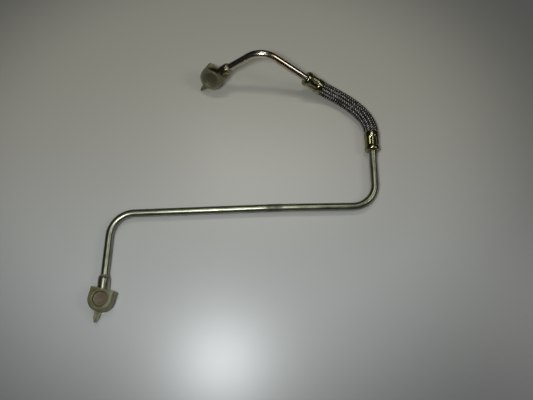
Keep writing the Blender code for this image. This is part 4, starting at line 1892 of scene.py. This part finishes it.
@dataclass(frozen=True)
class Studio:
    """The table, the lights and the camera."""

    camera_place: Place = (0.02681, -0.1802, 0.5508)
    elevation: float = 73.0
    focal_pixels: float = 540.0
    frame_width: float = 533.0
    sensor: float = 36.0
    room: Colour = (0.012, 0.012, 0.013)
    table_size: float = 2.4
    top: PaleTable = PaleTable("pale_table", (0.420, 0.432, 0.422), (0.400, 0.388, 0.336), 0.32)
    lights: tuple[SoftLight, ...] = (
        SoftLight("lamp", (-0.062, -0.176, 0.590), (0, -0.02, 0), 0.11, 1.95, (0.93, 0.97, 1.0)),
        SoftLight("ceiling_left", (-0.13, 0.62, 1.7), (0, 0, 0), 0.22, 2.088, (1.0, 0.97, 0.86)),
        SoftLight("ceiling_right", (0.20, 0.62, 1.7), (0, 0, 0), 0.22, 1.512, (1.0, 0.97, 0.86)),
        SoftLight("window", (0.95, -0.05, 1.05), (0, 0, 0), 0.5, 2.45, (1.0, 0.98, 0.95)),
        SoftLight("fill", (-0.05, 0.12, 1.2), (-0.05, 0.12, 0), 1.3, 1.35, (1.0, 0.98, 0.92),
                  mirrored=False))

    def build(self, effects: SharedEffects) -> None:
        """Set the table, the lights and the camera.

        Args:
            effects: The shared groups.
        """
        self._table(effects)
        for light in self.lights:
            light.hang()
        world = bpy.data.worlds.new("room")
        world.use_nodes = True
        air = world.node_tree.nodes["Background"]
        air.inputs["Color"].default_value = (*self.room, 1.0)
        air.inputs["Strength"].default_value = 1.0
        scene = bpy.context.scene
        scene.world = world
        scene.view_settings.view_transform = "Standard"
        self._camera(scene)

    def _table(self, effects: SharedEffects) -> None:
        """Lay the table top.

        Args:
            effects: The shared groups.
        """
        deselect_all()
        bpy.ops.mesh.primitive_plane_add(size=self.table_size, location=(0, 0, 0))
        table = bpy.context.active_object
        table.name = "table"
        table.data.materials.append(self.top.material(effects))

    def _camera(self, scene: bpy.types.Scene) -> None:
        """Stand the camera where the photograph was taken.

        Args:
            scene: The scene that it looks at.
        """
        data = bpy.data.cameras.new("camera")
        data.sensor_width = self.sensor
        data.lens = self.sensor * self.focal_pixels / self.frame_width
        data.clip_start = 0.01
        camera = bpy.data.objects.new("camera", data)
        scene.collection.objects.link(camera)
        camera.location = self.camera_place
        camera.rotation_euler = (math.radians(90.0 - self.elevation), 0.0, 0.0)
        scene.camera = camera


@dataclass(frozen=True)
class Finishes:
    """Every finish of the pipe."""

    long_pipe: PlatedSteel = PlatedSteel(
        "zinc_plate", (0.285, 0.295, 0.22), (0.235, 0.245, 0.17), (0.085, 0.085, 0.06), 0.285,
        scuff_centre=34.6 * MM)
    short_pipe: PlatedSteel = PlatedSteel(
        "bright_plate", (0.62, 0.56, 0.46), (0.46, 0.37, 0.23), (0.14, 0.10, 0.06), 0.16,
        smudge=0.08, tint_low=0.45, tint_high=0.7)
    lower_eye: PlatedSteel = PlatedSteel(
        "eye_plate", (0.36, 0.355, 0.28), (0.30, 0.29, 0.20), (0.10, 0.09, 0.06), 0.27,
        follows_path=False)
    upper_eye: PlatedSteel = PlatedSteel(
        "golden_plate", (0.40, 0.36, 0.22), (0.33, 0.27, 0.14), (0.12, 0.09, 0.04), 0.20,
        smudge=0.06, follows_path=False)
    ferrule: PlatedSteel = PlatedSteel(
        "ferrule_plate", (0.30, 0.288, 0.175), (0.28, 0.235, 0.12), (0.07, 0.055, 0.03), 0.19,
        smudge=0.05, line_depth=0.03, grain_depth=0.008, follows_path=False)
    braze: BrazeMetal = BrazeMetal("braze_metal", (0.36, 0.33, 0.23), (0.20, 0.17, 0.11))
    rubber: BlackRubber = BlackRubber("black_rubber_grain")
    yarn: WovenYarn = WovenYarn(
        "braid_yarn", (0.0045, 0.0038, 0.0035), (0.010, 0.0086, 0.0078), (0.62, 0.58, 0.53))
    lower_cap: SmokyPlastic = SmokyPlastic(
        "olive_cap", (0.43, 0.415, 0.21), (0.33, 0.315, 0.145), (0.36, 0.20, 0.10), 0.40, 0.82)
    upper_cap: SmokyPlastic = SmokyPlastic(
        "smoky_cap", (0.52, 0.51, 0.33), (0.42, 0.405, 0.25), (0.35, 0.27, 0.16), 0.33, 0.86)

    def mixed(self, effects: SharedEffects) -> dict[str, bpy.types.Material]:
        """Make every material.

        Args:
            effects: The shared groups.

        Returns:
            The materials by the name of their use.
        """
        return {use.name: getattr(self, use.name).material(effects) for use in fields(self)}


def cap_turn(angle: float) -> Matrix:
    """How a cap sits turned about its eye's bore, from an angle in degrees."""
    return Matrix.Rotation(math.radians(angle), 4, "Z")


def main() -> None:
    """Build the pipe piece by piece, then the set."""
    logging.basicConfig(level=logging.INFO, format="%(name)s: %(message)s", stream=sys.stdout)
    route = Route()
    effects = SharedEffects()
    finish = Finishes().mixed(effects)
    lower_place = eye_place(route.lower_eye, route.lower_neck, UP)
    upper_place = eye_place(route.upper_eye, route.upper_neck, route.upper_bore)
    lower_neck_end = turned_place(route.lower_eye + route.lower_neck * NECK_REACH, route.lower_neck)
    upper_neck_end = turned_place(route.upper_eye + route.upper_neck * NECK_REACH, route.upper_neck)
    for part, use in (
            (BentPipe("drawn_long_pipe", "long_pipe", "zinc_plated_steel",
                      route.long_corners, route.bend_radius), "long_pipe"),
            (BentPipe("drawn_short_pipe", "short_pipe", "bright_plated_steel",
                      route.short_corners, route.bend_radius), "short_pipe"),
            (BanjoEye("forged_lower_eye", "lower_banjo_eye", "zinc_plated_steel",
                      lower_place), "lower_eye"),
            (BanjoEye("forged_upper_eye", "upper_banjo_eye", "yellow_passivated_steel",
                      upper_place), "upper_eye"),
            (BrazeFillet("lower_fillet", "lower_braze_ring", "braze", lower_neck_end), "braze"),
            (BrazeFillet("upper_fillet", "upper_braze_ring", "braze", upper_neck_end), "braze"),
            (CrimpedFerrule("pressed_lower_ferrule", "lower_ferrule", "yellow_passivated_steel",
                            turned_place(route.lower_ferrule, route.lower_axis), 10.0), "ferrule"),
            (CrimpedFerrule("pressed_upper_ferrule", "upper_ferrule", "yellow_passivated_steel",
                            turned_place(route.upper_ferrule, -route.upper_axis), 35.0), "ferrule"),
            (ProtectiveCap("lower_pouch", "lower_cap", "smoky_plastic",
                           lower_place @ cap_turn(-11.0), 0.0), "lower_cap"),
            (ProtectiveCap("upper_pouch", "upper_cap", "smoky_plastic",
                           upper_place @ cap_turn(17.0), 15.0), "upper_cap")):
        hand_over(part.build(), finish[use], part.node)
    hose = BraidedHose(route)
    hand_over(hose.ground(), finish["rubber"], hose.node)
    hand_over(hose.build(), finish["yarn"], hose.node)
    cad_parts["hose_liner"].material_slots[0].material = finish["rubber"]
    log.info("hose_liner keeps its solid, in rubber")
    Studio().build(effects)
    log.info("everything is in place")


if __name__ == "__main__":
    main()
